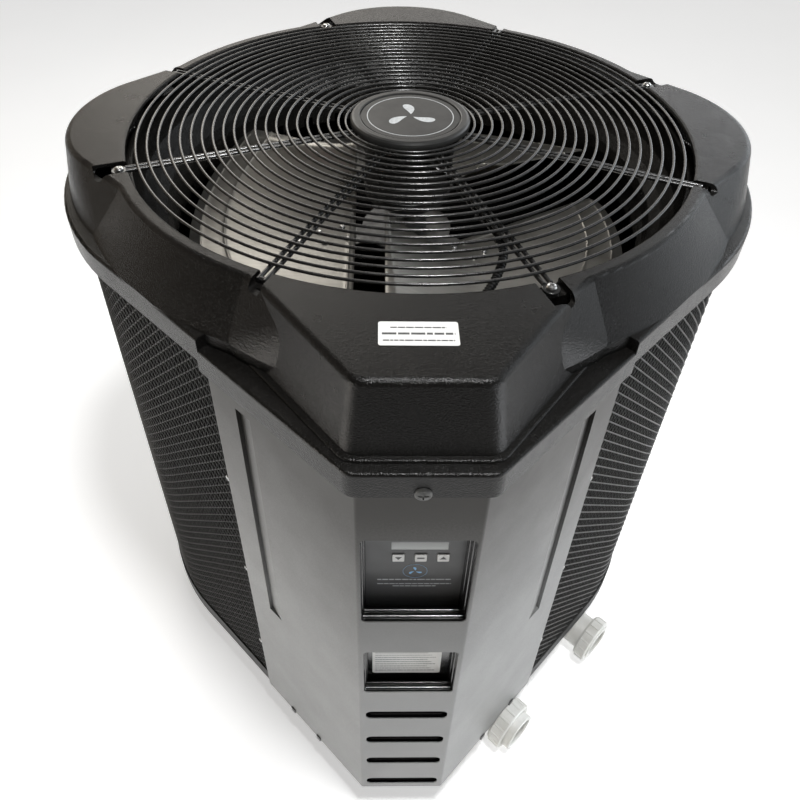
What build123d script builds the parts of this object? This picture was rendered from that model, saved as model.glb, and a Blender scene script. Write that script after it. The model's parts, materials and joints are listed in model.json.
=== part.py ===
from build123d import *
import math
import os

# Pool and spa heat pump: a vertical-discharge unit with a wrap-around coil.
# Row frame: millimetres, +Z up, front is -Y, origin on the floor under the fan axis.
# The plan is a square standing on its corner: rounded corners left, right and back,
# and the front corner cut off by the flat control face.

# ---- driving heights -------------------------------------------------------------
FLOOR_Z = 0.0
CABINET_Z = 95.0            # lower edge of the front panel and of the base pan
RIM_Z = 1098.0              # flat top of the shroud and plane of the guard rings
LEDGE_Z = 1033.0            # top of the shroud's lip at the sides and back
FRONT_DROP = 18.0           # the lip sits this much lower across the front panel
LIP_SKIRT = 37.0            # height of the lip's vertical face
SKIN = 5.0                  # wall of the shroud moulding

# ---- driving plan sizes (half sides measured square to the 45 degree sides) -----------
BODY_HALF = 482.0
BODY_CORNER_R = 391.0
FRONT_Y = -610.0
LIP_HALF = 492.0
LIP_CORNER_R = 400.0
LIP_FRONT_Y = -617.0
LOBE_TOP_HALF = 421.0
LOBE_TOP_R = 178.0
LOBE_BASE_HALF = 469.0
LOBE_BASE_R = 340.0
ROUND_TOP_R = 442.0
ROUND_BASE_R = 493.0
HOLE_R = 424.0
GUARD_OUT = 476.0           # outer face of the netting that covers the coil
GUARD_T = 2.6
COIL_OUT = GUARD_OUT - GUARD_T - 0.4
COIL_DEPTH = 22.0
COIL_CORNER_R = 382.0
WING_END_S = -115.0         # where the front panel's wings stop, along each front side
LIP_STEP_S = -121.0         # where the lip steps down

ROOT2 = math.sqrt(2.0)
BASE_ALIGN = (Align.CENTER, Align.CENTER, Align.MIN)
FAN_YAW = -2.2              # the guard is turned this much on its seats, in degrees

os.makedirs("parts", exist_ok=True)


# ---- helpers ---------------------------------------------------------------------
def save(shape, node):
    export_step(shape, f"parts/{node}.step")


def block(x0, x1, y0, y1, z0, z1):
    return Pos((x0 + x1) / 2, (y0 + y1) / 2, z0) * Box(x1 - x0, y1 - y0, z1 - z0, align=BASE_ALIGN)


def drum(radius, z0, z1, x=0.0, y=0.0):
    return Pos(x, y, z0) * Cylinder(radius, z1 - z0, align=BASE_ALIGN)


def prism(face, z0, z1):
    return extrude(Pos(0, 0, z0) * face, z1 - z0, dir=(0, 0, 1))


def outline(*points):
    return make_face(Polyline(*points, close=True))


def turned(*points):
    """Solid of revolution about Z from (radius, height) points."""
    profile = make_face(Polyline(*[(r, 0, z) for r, z in points], close=True))
    return revolve(profile, Axis.Z)


def union(shapes):
    shapes = list(shapes)
    total = shapes[0]
    for shape in shapes[1:]:
        total = total + shape
    return total


def group(shapes):
    """Separate solids kept apart in one node."""
    solids = [solid for shape in shapes for solid in shape.solids()]
    return Compound(children=solids)


def on_right(shape):
    """Place a shape drawn in a side's own frame (X outward, Y along the side) on the right front side."""
    return Rot(0, 0, -45) * shape


def mirrored(shape):
    return mirror(shape, about=Plane.YZ)


def diamond(half_side, corner_r, front_y=None, front_r=0.0):
    """Square standing on its corner; with front_y the front corner is sharp and cut off flat."""
    face = RectangleRounded(2 * half_side, 2 * half_side, corner_r, rotation=45)
    if front_y is None:
        return face
    reach = half_side * ROOT2
    nose = reach + front_y
    front = outline((-nose, front_y), (nose, front_y), (reach / 2, -reach / 2), (-reach / 2, -reach / 2))
    face = face + front
    if front_r:
        corners = [v for v in face.vertices() if abs(v.Y - front_y) < 0.01]
        face = fillet(corners, front_r)
    return face


def wedge(s):
    """Plan triangle that covers everything in front of station s on both front sides."""
    apex = s * ROOT2
    far = 1500.0
    return outline((0, apex), (far, apex - far), (-far, apex - far))


def rod(points, radii, r):
    """Round bar swept along straight runs joined by tangent arcs."""
    path = FilletPolyline(*points, radius=radii)
    start = path.position_at(0)
    section = Plane(origin=start, z_dir=path.tangent_at(0)) * Circle(r)
    return sweep(section, path)


def pipe(points, radii, r_out, r_in):
    return rod(points, radii, r_out) - rod(points, radii, r_in)


# ---- base -------------------------------------------------------------------------
PLINTH_HALF = 415.0
PLINTH_R = 330.0
PLINTH_FRONT_Y = -540.0
PLINTH_TOP = 94.5
PLINTH_WALL = 6.0
UNION_Z = 53.0              # height of both water connections
INLET_S = -189.0            # stations of the water connections along the right front side
ARCH_R = 53.0               # cut-out of the panel and the pan over the inlet nut
OUTLET_S = 76.0
INLET_NUT_N = 478.0         # where each nut starts, square out from the side
OUTLET_NUT_N = 500.0
INLET_NUT_LEN = 30.0
OUTLET_NUT_LEN = 26.0
OUTLET_END_N = 529.0
INLET_END_N = 523.0
TAIL_R = 36.0
PIPE_R = 30.15              # two-inch pipe
CONDUIT_R = 17.4
CONDUIT_S = 40.0
PAN_TOP = 130.0
PAN_FLOOR = 6.0
PAN_RIM = 5.0


def base_plinth():
    """Moulded skirt, open below and closed by the pan that stands on it."""
    outer = prism(diamond(PLINTH_HALF, PLINTH_R, PLINTH_FRONT_Y), FLOOR_Z, PLINTH_TOP)
    inner_face = diamond(PLINTH_HALF - PLINTH_WALL, PLINTH_R - PLINTH_WALL, PLINTH_FRONT_Y + PLINTH_WALL)
    body = outer - prism(inner_face, FLOOR_Z - 1, PLINTH_TOP + 1)
    for s in (INLET_S, OUTLET_S):
        bore = Pos(0, s, UNION_Z) * Rot(0, 90, 0) * Cylinder(TAIL_R + 2.0, 60)
        body = body - on_right(Pos(PLINTH_HALF, 0, 0) * bore)
    hole = Pos(PLINTH_HALF, CONDUIT_S, UNION_Z) * Rot(0, 90, 0) * Cylinder(CONDUIT_R + 4.2, 60)
    return body - mirrored(on_right(hole))


def base_pan():
    half = BODY_HALF - 4.0
    outer_face = diamond(half, BODY_CORNER_R - 4.0, FRONT_Y + 4.0, 6.0)
    inner_face = diamond(half - PAN_RIM, BODY_CORNER_R - 4.0 - PAN_RIM, FRONT_Y + 4.0 + PAN_RIM, 4.0)
    body = prism(outer_face, CABINET_Z, PAN_TOP) - prism(inner_face, CABINET_Z + PAN_FLOOR, PAN_TOP + 1)
    for x, y in (EXCHANGER_XY, RISER_XY):
        body = body - drum(PIPE_R + 2.5, CABINET_Z - 1, CABINET_Z + PAN_FLOOR + 1, x, y)
    for x in (-120.0, 0.0, 120.0):
        body = body - drum(7.0, CABINET_Z - 1, CABINET_Z + PAN_FLOOR + 1, x, 330.0)
    body = body - block(-70, 70, FRONT_Y, FRONT_Y + 24, CABINET_Z + PAN_FLOOR + 1, PAN_TOP + 1)
    clearance = Pos(INLET_NUT_N, INLET_S, UNION_Z) * Rot(0, 90, 0) * Cylinder(ARCH_R, 40)
    return body - on_right(clearance)


def conduit_bushing():
    """Threaded entry for the power wiring, low on the left side of the plinth."""
    turned_part = turned((CONDUIT_R, -16), (CONDUIT_R + 4, -16), (CONDUIT_R + 4, 1), (CONDUIT_R + 9, 1),
                         (CONDUIT_R + 9, 8), (CONDUIT_R + 4, 8), (CONDUIT_R + 4, 22), (CONDUIT_R, 22))
    seat = Pos(PLINTH_HALF, CONDUIT_S, UNION_Z) * Rot(0, 90, 0)
    return mirrored(on_right(seat * turned_part))


# ---- plumbing -----------------------------------------------------------------------
NUT_R = 49.0
COLLAR_R = 42.0
COLLAR_LEN = 14.0
FLANGE_LEN = 3.2
GAP = 0.35                  # clearance between a nut and what it turns on
STOP_R = PIPE_R - 3.5       # shoulder inside the tail that a pipe pushed into the socket meets
STOP_LEN = 3.0
SOCKET_R = 37.6
GRIP_COUNT = 16


def side_point(s, n):
    """Plan point at station s and distance n on the right front side."""
    return ((s + n) / ROOT2, (s - n) / ROOT2)


EXCHANGER_XY = side_point(INLET_S, 100.0)
EXCHANGER_R = 80.0
EXCHANGER_Z = (150.0, 600.0)
RISER_XY = side_point(OUTLET_S, 100.0)
OUTLET_PORT_Z = 480.0
BEND_R = 40.0


def along_side(shape, s):
    """Turn a part built about Z (height = distance out from the side) onto its water connection axis."""
    return on_right(Pos(0, s, UNION_Z) * Rot(0, 90, 0) * shape)


def union_tail(s, nut_n):
    collar = nut_n + 2.0
    face = collar + COLLAR_LEN
    bore = PIPE_R + 0.1
    ring = turned((bore, nut_n - 62), (TAIL_R, nut_n - 62), (TAIL_R, collar), (COLLAR_R, collar),
                  (COLLAR_R, face), (STOP_R, face), (STOP_R, face - STOP_LEN), (bore, face - STOP_LEN))
    return along_side(ring, s)


def union_nut(s, nut_n, length):
    lip = nut_n + 2.0 + COLLAR_LEN + FLANGE_LEN + 3 * GAP
    bore = COLLAR_R + GAP + 0.1
    ring = turned((bore, nut_n), (NUT_R - 4, nut_n), (NUT_R - 1.5, nut_n + 4),
                  (NUT_R - 1.5, nut_n + length - 2), (NUT_R - 3.5, nut_n + length),
                  (SOCKET_R + 2 * GAP, nut_n + length),
                  (SOCKET_R + 2 * GAP, lip), (bore, lip))
    rib = Pos(NUT_R - 2.6, 0, nut_n + 4) * Cylinder(2.6, length - 7, align=BASE_ALIGN)
    grips = [Rot(0, 0, k * 360 / GRIP_COUNT) * rib for k in range(GRIP_COUNT)]
    return along_side(union([ring] + grips), s)


def union_socket(s, nut_n, end_n):
    start = nut_n + 2.0 + COLLAR_LEN + GAP
    ring = turned((PIPE_R + 0.1, start), (COLLAR_R - GAP, start), (COLLAR_R - GAP, start + FLANGE_LEN),
                  (SOCKET_R, start + FLANGE_LEN), (SOCKET_R, end_n - 1.5), (SOCKET_R - 1.5, end_n),
                  (PIPE_R + 1.2, end_n), (PIPE_R + 0.1, end_n - 1.2))
    return along_side(ring, s)


def inlet_pipe():
    start = side_point(INLET_S, INLET_NUT_N + 10)
    points = [(*start, UNION_Z), (*EXCHANGER_XY, UNION_Z), (*EXCHANGER_XY, EXCHANGER_Z[0] - 0.2)]
    return pipe(points, BEND_R, PIPE_R, PIPE_R - 4)


def outlet_pipe():
    start = side_point(OUTLET_S, OUTLET_NUT_N + 10)
    port = (EXCHANGER_XY[0] + (EXCHANGER_R + 0.2) / ROOT2, EXCHANGER_XY[1] + (EXCHANGER_R + 0.2) / ROOT2)
    points = [(*start, UNION_Z), (*RISER_XY, UNION_Z), (*RISER_XY, OUTLET_PORT_Z), (*port, OUTLET_PORT_Z)]
    return pipe(points, BEND_R, PIPE_R, PIPE_R - 4)


def heat_exchanger():
    """Closed shell with a domed lid; the titanium coil is sealed inside it."""
    z0, z1 = EXCHANGER_Z
    shell = turned((0, z0), (EXCHANGER_R - 8, z0), (EXCHANGER_R, z0 + 8), (EXCHANGER_R, z1 - 60),
                   (EXCHANGER_R + 7, z1 - 60), (EXCHANGER_R + 7, z1 - 30), (EXCHANGER_R, z1 - 30),
                   (EXCHANGER_R * 0.75, z1 - 8), (EXCHANGER_R * 0.4, z1), (0, z1))
    return Pos(*EXCHANGER_XY, 0) * shell


def exchanger_stand():
    """Three-legged ring that carries the heat exchanger above the pan."""
    floor = CABINET_Z + PAN_FLOOR
    ring = drum(EXCHANGER_R - 2, EXCHANGER_Z[0] - 8, EXCHANGER_Z[0]) - drum(PIPE_R + 8, 0, 400)
    legs = [Rot(0, 0, a) * block(46, 72, -6, 6, floor, EXCHANGER_Z[0] - 8) for a in (30, 150, 270)]
    return Pos(*EXCHANGER_XY, 0) * union([ring] + legs)


# ---- refrigerant circuit -----------------------------------------------------------------
COMPRESSOR_XY = (-150.0, 130.0)
COMPRESSOR_R = 88.0
COMPRESSOR_Z = (CABINET_Z + PAN_FLOOR + 18.0, 520.0)
ACCUMULATOR_XY = (40.0, 230.0)
ACCUMULATOR_R = 52.0
DRIER_XY = (210.0, 120.0)
COPPER_R = 8.0


def compressor():
    z0, z1 = COMPRESSOR_Z
    r = COMPRESSOR_R
    can = turned((0, z0), (r - 20, z0), (r, z0 + 16), (r, z1 - 50), (r * 0.92, z1 - 22), (r * 0.7, z1 - 6),
                 (r * 0.35, z1), (0, z1))
    plate = RectangleRounded(178, 178, 20)
    foot = prism(plate, z0 - 2, z0 + 4)
    holes = union(drum(7, z0 - 5, z0 + 8, x, y) for x in (-75, 75) for y in (-75, 75))
    seam = Pos(0, 0, z1 - 110) * Torus(r, 3)
    return Pos(*COMPRESSOR_XY, 0) * ((can + foot + seam) - holes)


def compressor_mounts():
    """Rubber grommets and their studs under the compressor's feet."""
    floor = CABINET_Z + PAN_FLOOR
    seat = COMPRESSOR_Z[0] - 2
    grommet = turned((0, floor), (14, floor), (15, floor + 4), (12, seat - 0.2), (0, seat - 0.2))
    stud = drum(4.5, seat - 0.2, seat + 22) + drum(9, seat + 6.4, seat + 14)
    spots = [(COMPRESSOR_XY[0] + x, COMPRESSOR_XY[1] + y) for x in (-75, 75) for y in (-75, 75)]
    return group(Pos(x, y, 0) * (grommet + stud) for x, y in spots)


def terminal_cover():
    x, y = COMPRESSOR_XY
    z = COMPRESSOR_Z[1] - 170
    return block(x - 35, x + 35, y - COMPRESSOR_R - 34, y - COMPRESSOR_R - 3.4, z, z + 90)


def accumulator():
    floor = CABINET_Z + PAN_FLOOR
    r = ACCUMULATOR_R
    can = turned((0, floor), (r - 14, floor), (r, floor + 14), (r, floor + 250), (r * 0.7, floor + 268),
                 (r * 0.3, floor + 275), (0, floor + 275))
    return Pos(*ACCUMULATOR_XY, 0) * can


def filter_drier():
    x, y = DRIER_XY
    body = turned((0, 300), (10, 300), (12, 318), (32, 334), (32, 436), (12, 452), (10, 470), (0, 470))
    return Pos(x, y, 0) * body


def expansion_valve():
    x, y = DRIER_XY
    body = drum(14, 560.2, 610, x, y) + drum(24, 610, 624, x, y) + drum(17, 624, 634, x, y)
    return body


def discharge_line():
    x, y = COMPRESSOR_XY
    ex, ey = EXCHANGER_XY
    points = [(x + 30, y, COMPRESSOR_Z[1] + 0.2), (x + 30, y, 640),
              (ex, ey, 640), (ex, ey, EXCHANGER_Z[1] + 0.2)]
    return rod(points, 18, COPPER_R)


def suction_line():
    x, y = COMPRESSOR_XY
    ax, ay = ACCUMULATOR_XY
    points = [(x + COMPRESSOR_R + 4, y + 20, 420), (ax - 60, y + 20, 420),
              (ax - 16, ay, 420), (ax - 16, ay, 376.4)]
    return rod(points, 18, 10.0)


def liquid_line():
    ex, ey = EXCHANGER_XY
    x, y = DRIER_XY
    lower = [(ex + EXCHANGER_R + 0.4, ey, 210), (x, ey, 210), (x, y, 210), (x, y, 299.8)]
    upper = [(x, y, 470.2), (x, y, 560)]
    return group([rod(lower, 30, COPPER_R), drum(COPPER_R, upper[0][2], upper[1][2], x, y)])


HEADER_N = 400.0
HEADER_S = -135.0
HEADER_Z = (170.0, 700.0)


def distributor_lines():
    """Capillaries from the expansion valve to the coil's right end plate."""
    x, y = DRIER_XY
    lines = []
    for k in range(4):
        angle = math.radians(-80 + 20 * k)
        start = (x + 20 * math.cos(angle), y + 20 * math.sin(angle), 624.2)
        level = 780 + 14 * k
        drop_x, drop_y = side_point(HEADER_S - 9 * k, HEADER_N)
        end_x, end_y = side_point(FIN_START_S - 0.8 - END_PLATE_T - 3.2, COIL_OUT - COIL_DEPTH + 9)
        z_end = FIRST_TUBE_Z + TUBE_H / 2 + (5.5 + 6 * k) * TUBE_PITCH
        points = [start, (start[0], start[1], level), (drop_x, drop_y, level), (drop_x, drop_y, z_end),
                  (end_x, end_y, z_end)]
        lines.append(rod(points, 12, 3.0))
    return group(lines)


def suction_header():
    """Gas header at the coil's left end, run over the compressor to the accumulator."""
    hx, hy = side_point(HEADER_S, HEADER_N + 12)
    ax, ay = ACCUMULATOR_XY
    points = [(-hx, hy, HEADER_Z[0]), (-hx, hy, HEADER_Z[1]),
              (ax + 22, ay, HEADER_Z[1]), (ax + 22, ay, 376.4)]
    return rod(points, 40, 12.0)


# ---- coil -------------------------------------------------------------------------------
COIL_Z = (PAN_TOP + 0.3, 1008.0)
TUBE_PITCH = 25.4
TUBE_H = 9.5
FIRST_TUBE_Z = 139.0
TUBE_ROWS = 34
FIN_START_S = -111.0
END_PLATE_T = 1.5


def coil_ring(out, depth, s):
    corner_r = COIL_CORNER_R - (COIL_OUT - out)
    ring = diamond(out, corner_r) - diamond(out - depth, corner_r - depth)
    return ring - wedge(s)


def evaporator_fins():
    return prism(coil_ring(COIL_OUT, COIL_DEPTH, FIN_START_S), *COIL_Z)


def evaporator_tubes():
    """Tube rows through the middle of the fins, and the hairpin bends that join them past the end plates."""
    inset = (COIL_DEPTH - TUBE_H) / 2
    face = coil_ring(COIL_OUT - inset, TUBE_H, FIN_START_S - 0.2)
    rows = [prism(face, FIRST_TUBE_Z + k * TUBE_PITCH, FIRST_TUBE_Z + k * TUBE_PITCH + TUBE_H)
            for k in range(TUBE_ROWS)]
    station = FIN_START_S - 0.5 - END_PLATE_T
    half = TUBE_PITCH / 2
    bend = revolve(Plane(origin=(0, 0, half), z_dir=(0, 1, 0)) * Circle(TUBE_H / 2), Axis.X, 180)
    bends = []
    for k in range(0, TUBE_ROWS - 1, 2):
        z = FIRST_TUBE_Z + TUBE_H / 2 + (k + 0.5) * TUBE_PITCH
        bends.append(on_right(Pos(COIL_OUT - COIL_DEPTH / 2, station, z) * bend))
    return group(rows + bends + [mirrored(b) for b in bends])


def coil_guard():
    """Netting wrapped round the coil, as a thin closed shell."""
    return prism(coil_ring(GUARD_OUT, GUARD_T, FIN_START_S), *COIL_Z)


def coil_end_plates():
    n0 = COIL_OUT - COIL_DEPTH - 12
    n1 = COIL_OUT
    s1 = FIN_START_S - 0.3
    plate = on_right(block(n0, n1, s1 - END_PLATE_T, s1, COIL_Z[0], COIL_Z[1]))
    return group([plate, mirrored(plate)])


def frame_posts():
    """Three folded steel posts that carry the shroud."""
    z0 = CABINET_Z + PAN_FLOOR
    z1 = LEDGE_Z - SKIN - 0.3
    channel = block(-20, 20, -1.5, 0, z0, z1)
    channel += block(-20, -18.5, -22, 0, z0, z1)
    channel += block(18.5, 20, -22, 0, z0, z1)
    front = Pos(434, WING_END_S - 65, 0) * Rot(0, 0, -90) * channel
    front = on_right(front) & block(-900, 900, -900, 900, z0, LEDGE_Z - FRONT_DROP - SKIN - 0.3)
    back = Pos(0, BODY_HALF * ROOT2 - BODY_CORNER_R * (ROOT2 - 1) - 37, 0) * channel
    return group([front, mirrored(front), back])


# ---- front panel ---------------------------------------------------------------------------
SHEET = 1.5
PANEL_TOP = 1003.0
PANEL_BEND_R = 6.0
WINDOW_HALF_W = 68.0
CONTROL_WINDOW_Z = (701.0, 888.0)
RATING_WINDOW_Z = (491.0, 618.0)
RATING_HALF_W = 65.5
SLOT_HALF_W = 63.0
SLOT_H = 27.0
SLOT_CORNER_R = 10.0
SLOT_Z = (125.0, 222.0, 313.0, 410.0)
GROOVE_W = 29.0
GROOVE_DEPTH = 6.0
GROOVE_Z = (458.0, 943.0)
GROOVE_S = -182.0
LIP_SCREW_Z = 985.0


def window(half_w, z0, z1, corner_r, y0=FRONT_Y - 3, y1=FRONT_Y + 12):
    face = Plane.XZ * (Pos(0, (z0 + z1) / 2) * RectangleRounded(2 * half_w, z1 - z0, corner_r))
    return extrude(Pos(0, y0, 0) * face, y1 - y0, dir=(0, 1, 0))


def groove(behind):
    """Long pressed channel: a step along its outer edge and a floor that ramps back up to the wing."""
    z0, z1 = GROOVE_Z
    step_s = GROOVE_S + GROOVE_W / 2 + behind
    low = BODY_HALF - GROOVE_DEPTH - behind
    top = BODY_HALF - SHEET / 2 if behind else BODY_HALF + 2
    ramp_s = step_s - (top - low) * GROOVE_W / GROOVE_DEPTH
    return prism(outline((low, step_s), (top, step_s), (top, ramp_s)), z0 - behind, z1 + behind)


def front_panel():
    outer = diamond(BODY_HALF, BODY_CORNER_R, FRONT_Y, PANEL_BEND_R)
    inner = diamond(BODY_HALF - SHEET, BODY_CORNER_R - SHEET, FRONT_Y + SHEET, PANEL_BEND_R - SHEET)
    sheet = prism((outer - inner) & wedge(WING_END_S), CABINET_Z, PANEL_TOP)
    hem = on_right(block(BODY_HALF - 14, BODY_HALF - SHEET / 2, WING_END_S - SHEET, WING_END_S,
                         CABINET_Z + 36, PANEL_TOP))
    bump = on_right(groove(SHEET))
    channel = on_right(groove(0))
    body = sheet + hem + mirrored(hem) + bump + mirrored(bump) - channel - mirrored(channel)
    body = body - window(WINDOW_HALF_W, *CONTROL_WINDOW_Z, 9.0)
    body = body - window(RATING_HALF_W, *RATING_WINDOW_Z, 7.0)
    for z in SLOT_Z:
        body = body - window(SLOT_HALF_W, z - SLOT_H / 2, z + SLOT_H / 2, SLOT_CORNER_R)
    body = body - (Pos(0, FRONT_Y, LIP_SCREW_Z) * Rot(90, 0, 0) * Cylinder(4.2, 30))
    clearance = Pos(INLET_NUT_N, INLET_S, UNION_Z) * Rot(0, 90, 0) * Cylinder(ARCH_R, 60)
    return body - on_right(clearance)


CLIP_S_LEFT = (-263.0, -190.0)
CLIP_S_RIGHT = -262.0
CLIP_HALF_W = 5.0
ARCH_CLIP_S = -176.0        # the one on the cut-out over the inlet nut
ARCH_CLIP_Z = UNION_Z + math.sqrt(ARCH_R ** 2 - (ARCH_CLIP_S + CLIP_HALF_W - INLET_S) ** 2)


def panel_clips():
    """Small black edge clips that hold the panel's lower edge to the pan."""
    left = [mirrored(panel_clip(s, CABINET_Z)) for s in CLIP_S_LEFT]
    right = [panel_clip(CLIP_S_RIGHT, CABINET_Z), panel_clip(ARCH_CLIP_S, ARCH_CLIP_Z)]
    return group(left + right)


def panel_clip(s, edge_z):
    n0 = BODY_HALF - SHEET
    s0, s1 = s - CLIP_HALF_W, s + CLIP_HALF_W
    outside = block(BODY_HALF + 0.05, BODY_HALF + 2.2, s0, s1, edge_z - 2.2, edge_z + 11)
    bridge = block(n0 - 1.6, BODY_HALF + 2.2, s0, s1, edge_z - 2.2, edge_z - 0.1)
    return on_right(outside + bridge)


def pan_head(r, height):
    head = turned((0, 0), (r, 0), (r, height * 0.45), (r * 0.8, height * 0.8), (r * 0.4, height), (0, height))
    slot = block(-r * 0.6, r * 0.6, -r * 0.1, r * 0.1, height * 0.5, height + 1)
    return head - slot - Rot(0, 0, 90) * slot


COIL_SCREW_S = -105.5
COIL_SCREW_Z = (CABINET_Z + 150, CABINET_Z + 400, CABINET_Z + 640, CABINET_Z + 860)


def coil_screws():
    """Screws that hold the coil's end plates, seen beside the wings."""
    heads = []
    for z in COIL_SCREW_Z:
        head = Pos(GUARD_OUT + 0.05, COIL_SCREW_S, z + 8) * Rot(0, 90, 0) * pan_head(5.0, 3.0)
        heads.append(on_right(head))
    return group(heads + [mirrored(h) for h in heads])


def lip_screw():
    head = pan_head(9.5, 4.0)
    shank = drum(4.0, -16, 0)
    nut = drum(8.0, -16, -11)
    return Pos(0, LIP_FRONT_Y - 0.05, LIP_SCREW_Z) * Rot(90, 0, 0) * (head + shank + nut)


# ---- control recess ------------------------------------------------------------------------
BEZEL_HALF_W = 69.0
BEZEL_WALL = 1.7
RATING_BACK_Y = -584.1
BEZEL_SIDE_IN = 5.4         # how far each side wall slopes in, from the window to the back
OVERLAY_Y = -575.0
OVERLAY_T = 2.0
LCD_SIZE = (70.0, 17.0)
LCD_Z = 822.5
KEY_SIZE = (15.0, 16.0)
KEY_X = (-21.0, 7.0, 35.0)
KEY_Z = 798.0
KEY_GAP = 0.4
KEY_PROUD = 1.6
LCD_X = 5.0


def recess_bezel(half_w, z_low, z_high, back_y, sill_drop):
    """Open-fronted moulded tub; its sill and its sides slope inwards and carry two rounded steps."""
    y0 = FRONT_Y + SHEET + 0.25
    thick = 3.0
    shell = outline((0, y0, z_high + thick), (0, back_y, z_high + thick),
                    (0, back_y, z_low - sill_drop - thick), (0, y0, z_low - thick))
    tub = extrude(Pos(-half_w, 0, 0) * shell, 2 * half_w, dir=(1, 0, 0))
    front_w = half_w - BEZEL_WALL
    back_w = front_w - BEZEL_SIDE_IN
    front = outline((-front_w, y0, z_low), (front_w, y0, z_low),
                    (front_w, y0, z_high), (-front_w, y0, z_high))
    back = outline((-back_w, back_y, z_low - sill_drop), (back_w, back_y, z_low - sill_drop),
                   (back_w, back_y, z_high), (-back_w, back_y, z_high))
    tub = tub - loft([front, back], ruled=True)
    depth = back_y - y0
    for part in (0.30, 0.68):
        y = y0 + depth * part
        z = z_low - sill_drop * part
        x = front_w - BEZEL_SIDE_IN * part
        tub = tub + Pos(0, y, z) * Rot(0, 90, 0) * Cylinder(3.4, 2 * (x + BEZEL_WALL / 2))
        for side in (-1, 1):
            tub = tub + drum(1.5, z, z_high + thick / 2, side * (x + 0.3), y)
    return tub


def control_bezel():
    z_low, z_high = CONTROL_WINDOW_Z
    return recess_bezel(BEZEL_HALF_W, z_low - 0.5, z_high + 0.5, OVERLAY_Y - 0.1, 20.0)


def key_hole(x, grow):
    w, h = KEY_SIZE
    return block(x - w / 2 - grow, x + w / 2 + grow, OVERLAY_Y - 5, OVERLAY_Y + 5,
                 KEY_Z - h / 2 - grow, KEY_Z + h / 2 + grow)


def control_panel():
    plate = block(-BEZEL_HALF_W, BEZEL_HALF_W, OVERLAY_Y, OVERLAY_Y + OVERLAY_T, CONTROL_WINDOW_Z[0] - 26,
                  CONTROL_WINDOW_Z[1] + 3)
    for x in KEY_X:
        plate = plate - key_hole(x, KEY_GAP)
    w, h = LCD_SIZE
    recess = block(LCD_X - w / 2, LCD_X + w / 2, OVERLAY_Y - 1, OVERLAY_Y + OVERLAY_T + 1,
                   LCD_Z - h / 2, LCD_Z + h / 2)
    return plate - recess


def display_lcd():
    w, h = LCD_SIZE
    return block(LCD_X - w / 2 + 0.1, LCD_X + w / 2 - 0.1, OVERLAY_Y + 0.3, OVERLAY_Y + 4,
                 LCD_Z - h / 2 + 0.1, LCD_Z + h / 2 - 0.1)


def key_cap(x):
    w, h = KEY_SIZE
    cap = block(x - w / 2, x + w / 2, OVERLAY_Y - KEY_PROUD, OVERLAY_Y + OVERLAY_T + 0.6,
                KEY_Z - h / 2, KEY_Z + h / 2)
    cap = fillet(cap.edges().filter_by(Axis.Y), 1.5)
    front = cap.faces().sort_by(Axis.Y)[0]
    return fillet(front.edges(), 0.5)


def controller_board():
    y = OVERLAY_Y + 6.0
    board = block(-60, 60, y, y + 1.6, 690, 860)
    parts = [block(-50, -20, y + 1.6, y + 14, 700, 740), block(0, 40, y + 1.6, y + 10, 705, 735)]
    return union([board] + parts)


def rating_bezel():
    half_w = RATING_HALF_W + 1.0
    z_low, z_high = RATING_WINDOW_Z
    tub = recess_bezel(half_w, z_low - 0.5, z_high + 0.5, RATING_BACK_Y, 12.0)
    return tub + block(-half_w, half_w, RATING_BACK_Y, RATING_BACK_Y + 2.1, z_low - 15, z_high + 3)


def rating_plate():
    z0 = RATING_WINDOW_Z[0] + 10
    plate = block(-53, 47, -585.0, -584.2, z0, z0 + 108)
    return fillet(plate.edges().filter_by(Axis.Y), 4)


INSERT_LOW = CABINET_Z + 7.5
TROUGH_DEPTH = 14.0
BEAD_R = 3.0


def louvre_insert():
    """Black moulded backing: a trough behind each slot and a round-ended bead along the trough's sill."""
    y0 = FRONT_Y + SHEET + 0.25
    half_w = SLOT_HALF_W + 1.5
    body = block(-half_w - 4, half_w + 4, y0, y0 + TROUGH_DEPTH + 4, INSERT_LOW, SLOT_Z[-1] + SLOT_H / 2 + 6)
    for z in SLOT_Z:
        top = z + SLOT_H / 2 - 0.3
        sill = z - SLOT_H / 2 + 0.3
        profile = outline((0, y0 - 1, top), (0, y0 + TROUGH_DEPTH, top), (0, y0 + TROUGH_DEPTH, sill - 4),
                          (0, y0 - 1, sill))
        body = body - extrude(Pos(-half_w, 0, 0) * profile, 2 * half_w, dir=(1, 0, 0))
        reach = SLOT_HALF_W - 8
        bead = Pos(0, y0 + 7.5, sill - 1.5) * Rot(0, 90, 0) * Cylinder(BEAD_R, 2 * reach)
        ends = [Pos(x, y0 + 7.5, sill - 1.5) * Sphere(BEAD_R) for x in (-reach, reach)]
        body = union([body, bead] + ends)
    return body


# ---- electrical ------------------------------------------------------------------------------
BOX_X = 100.0
BOX_Y = (-556.0, -450.0)
BOX_Z = (640.0, 930.0)


def electrical_box():
    outer = block(-BOX_X, BOX_X, *BOX_Y, *BOX_Z)
    inner = block(-BOX_X + 1.5, BOX_X - 1.5, BOX_Y[0] - 1, BOX_Y[1] - 1.5, BOX_Z[0] + 1.5, BOX_Z[1] - 1.5)
    cable = drum(8.0, BOX_Z[1] - 5, BOX_Z[1] + 5, *CABLE_DROP_XY)
    return outer - inner - cable


def contactor():
    y = BOX_Y[1] - 1.7
    return block(-70, -15, y - 55, y, 700, 770) + block(-62, -23, y - 62, y - 55, 715, 755)


def run_capacitor():
    y = BOX_Y[1] - 30
    can = drum(25, 690, 790, 45, y) + drum(4, 790, 800, 36, y) + drum(4, 790, 800, 54, y)
    return can


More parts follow.
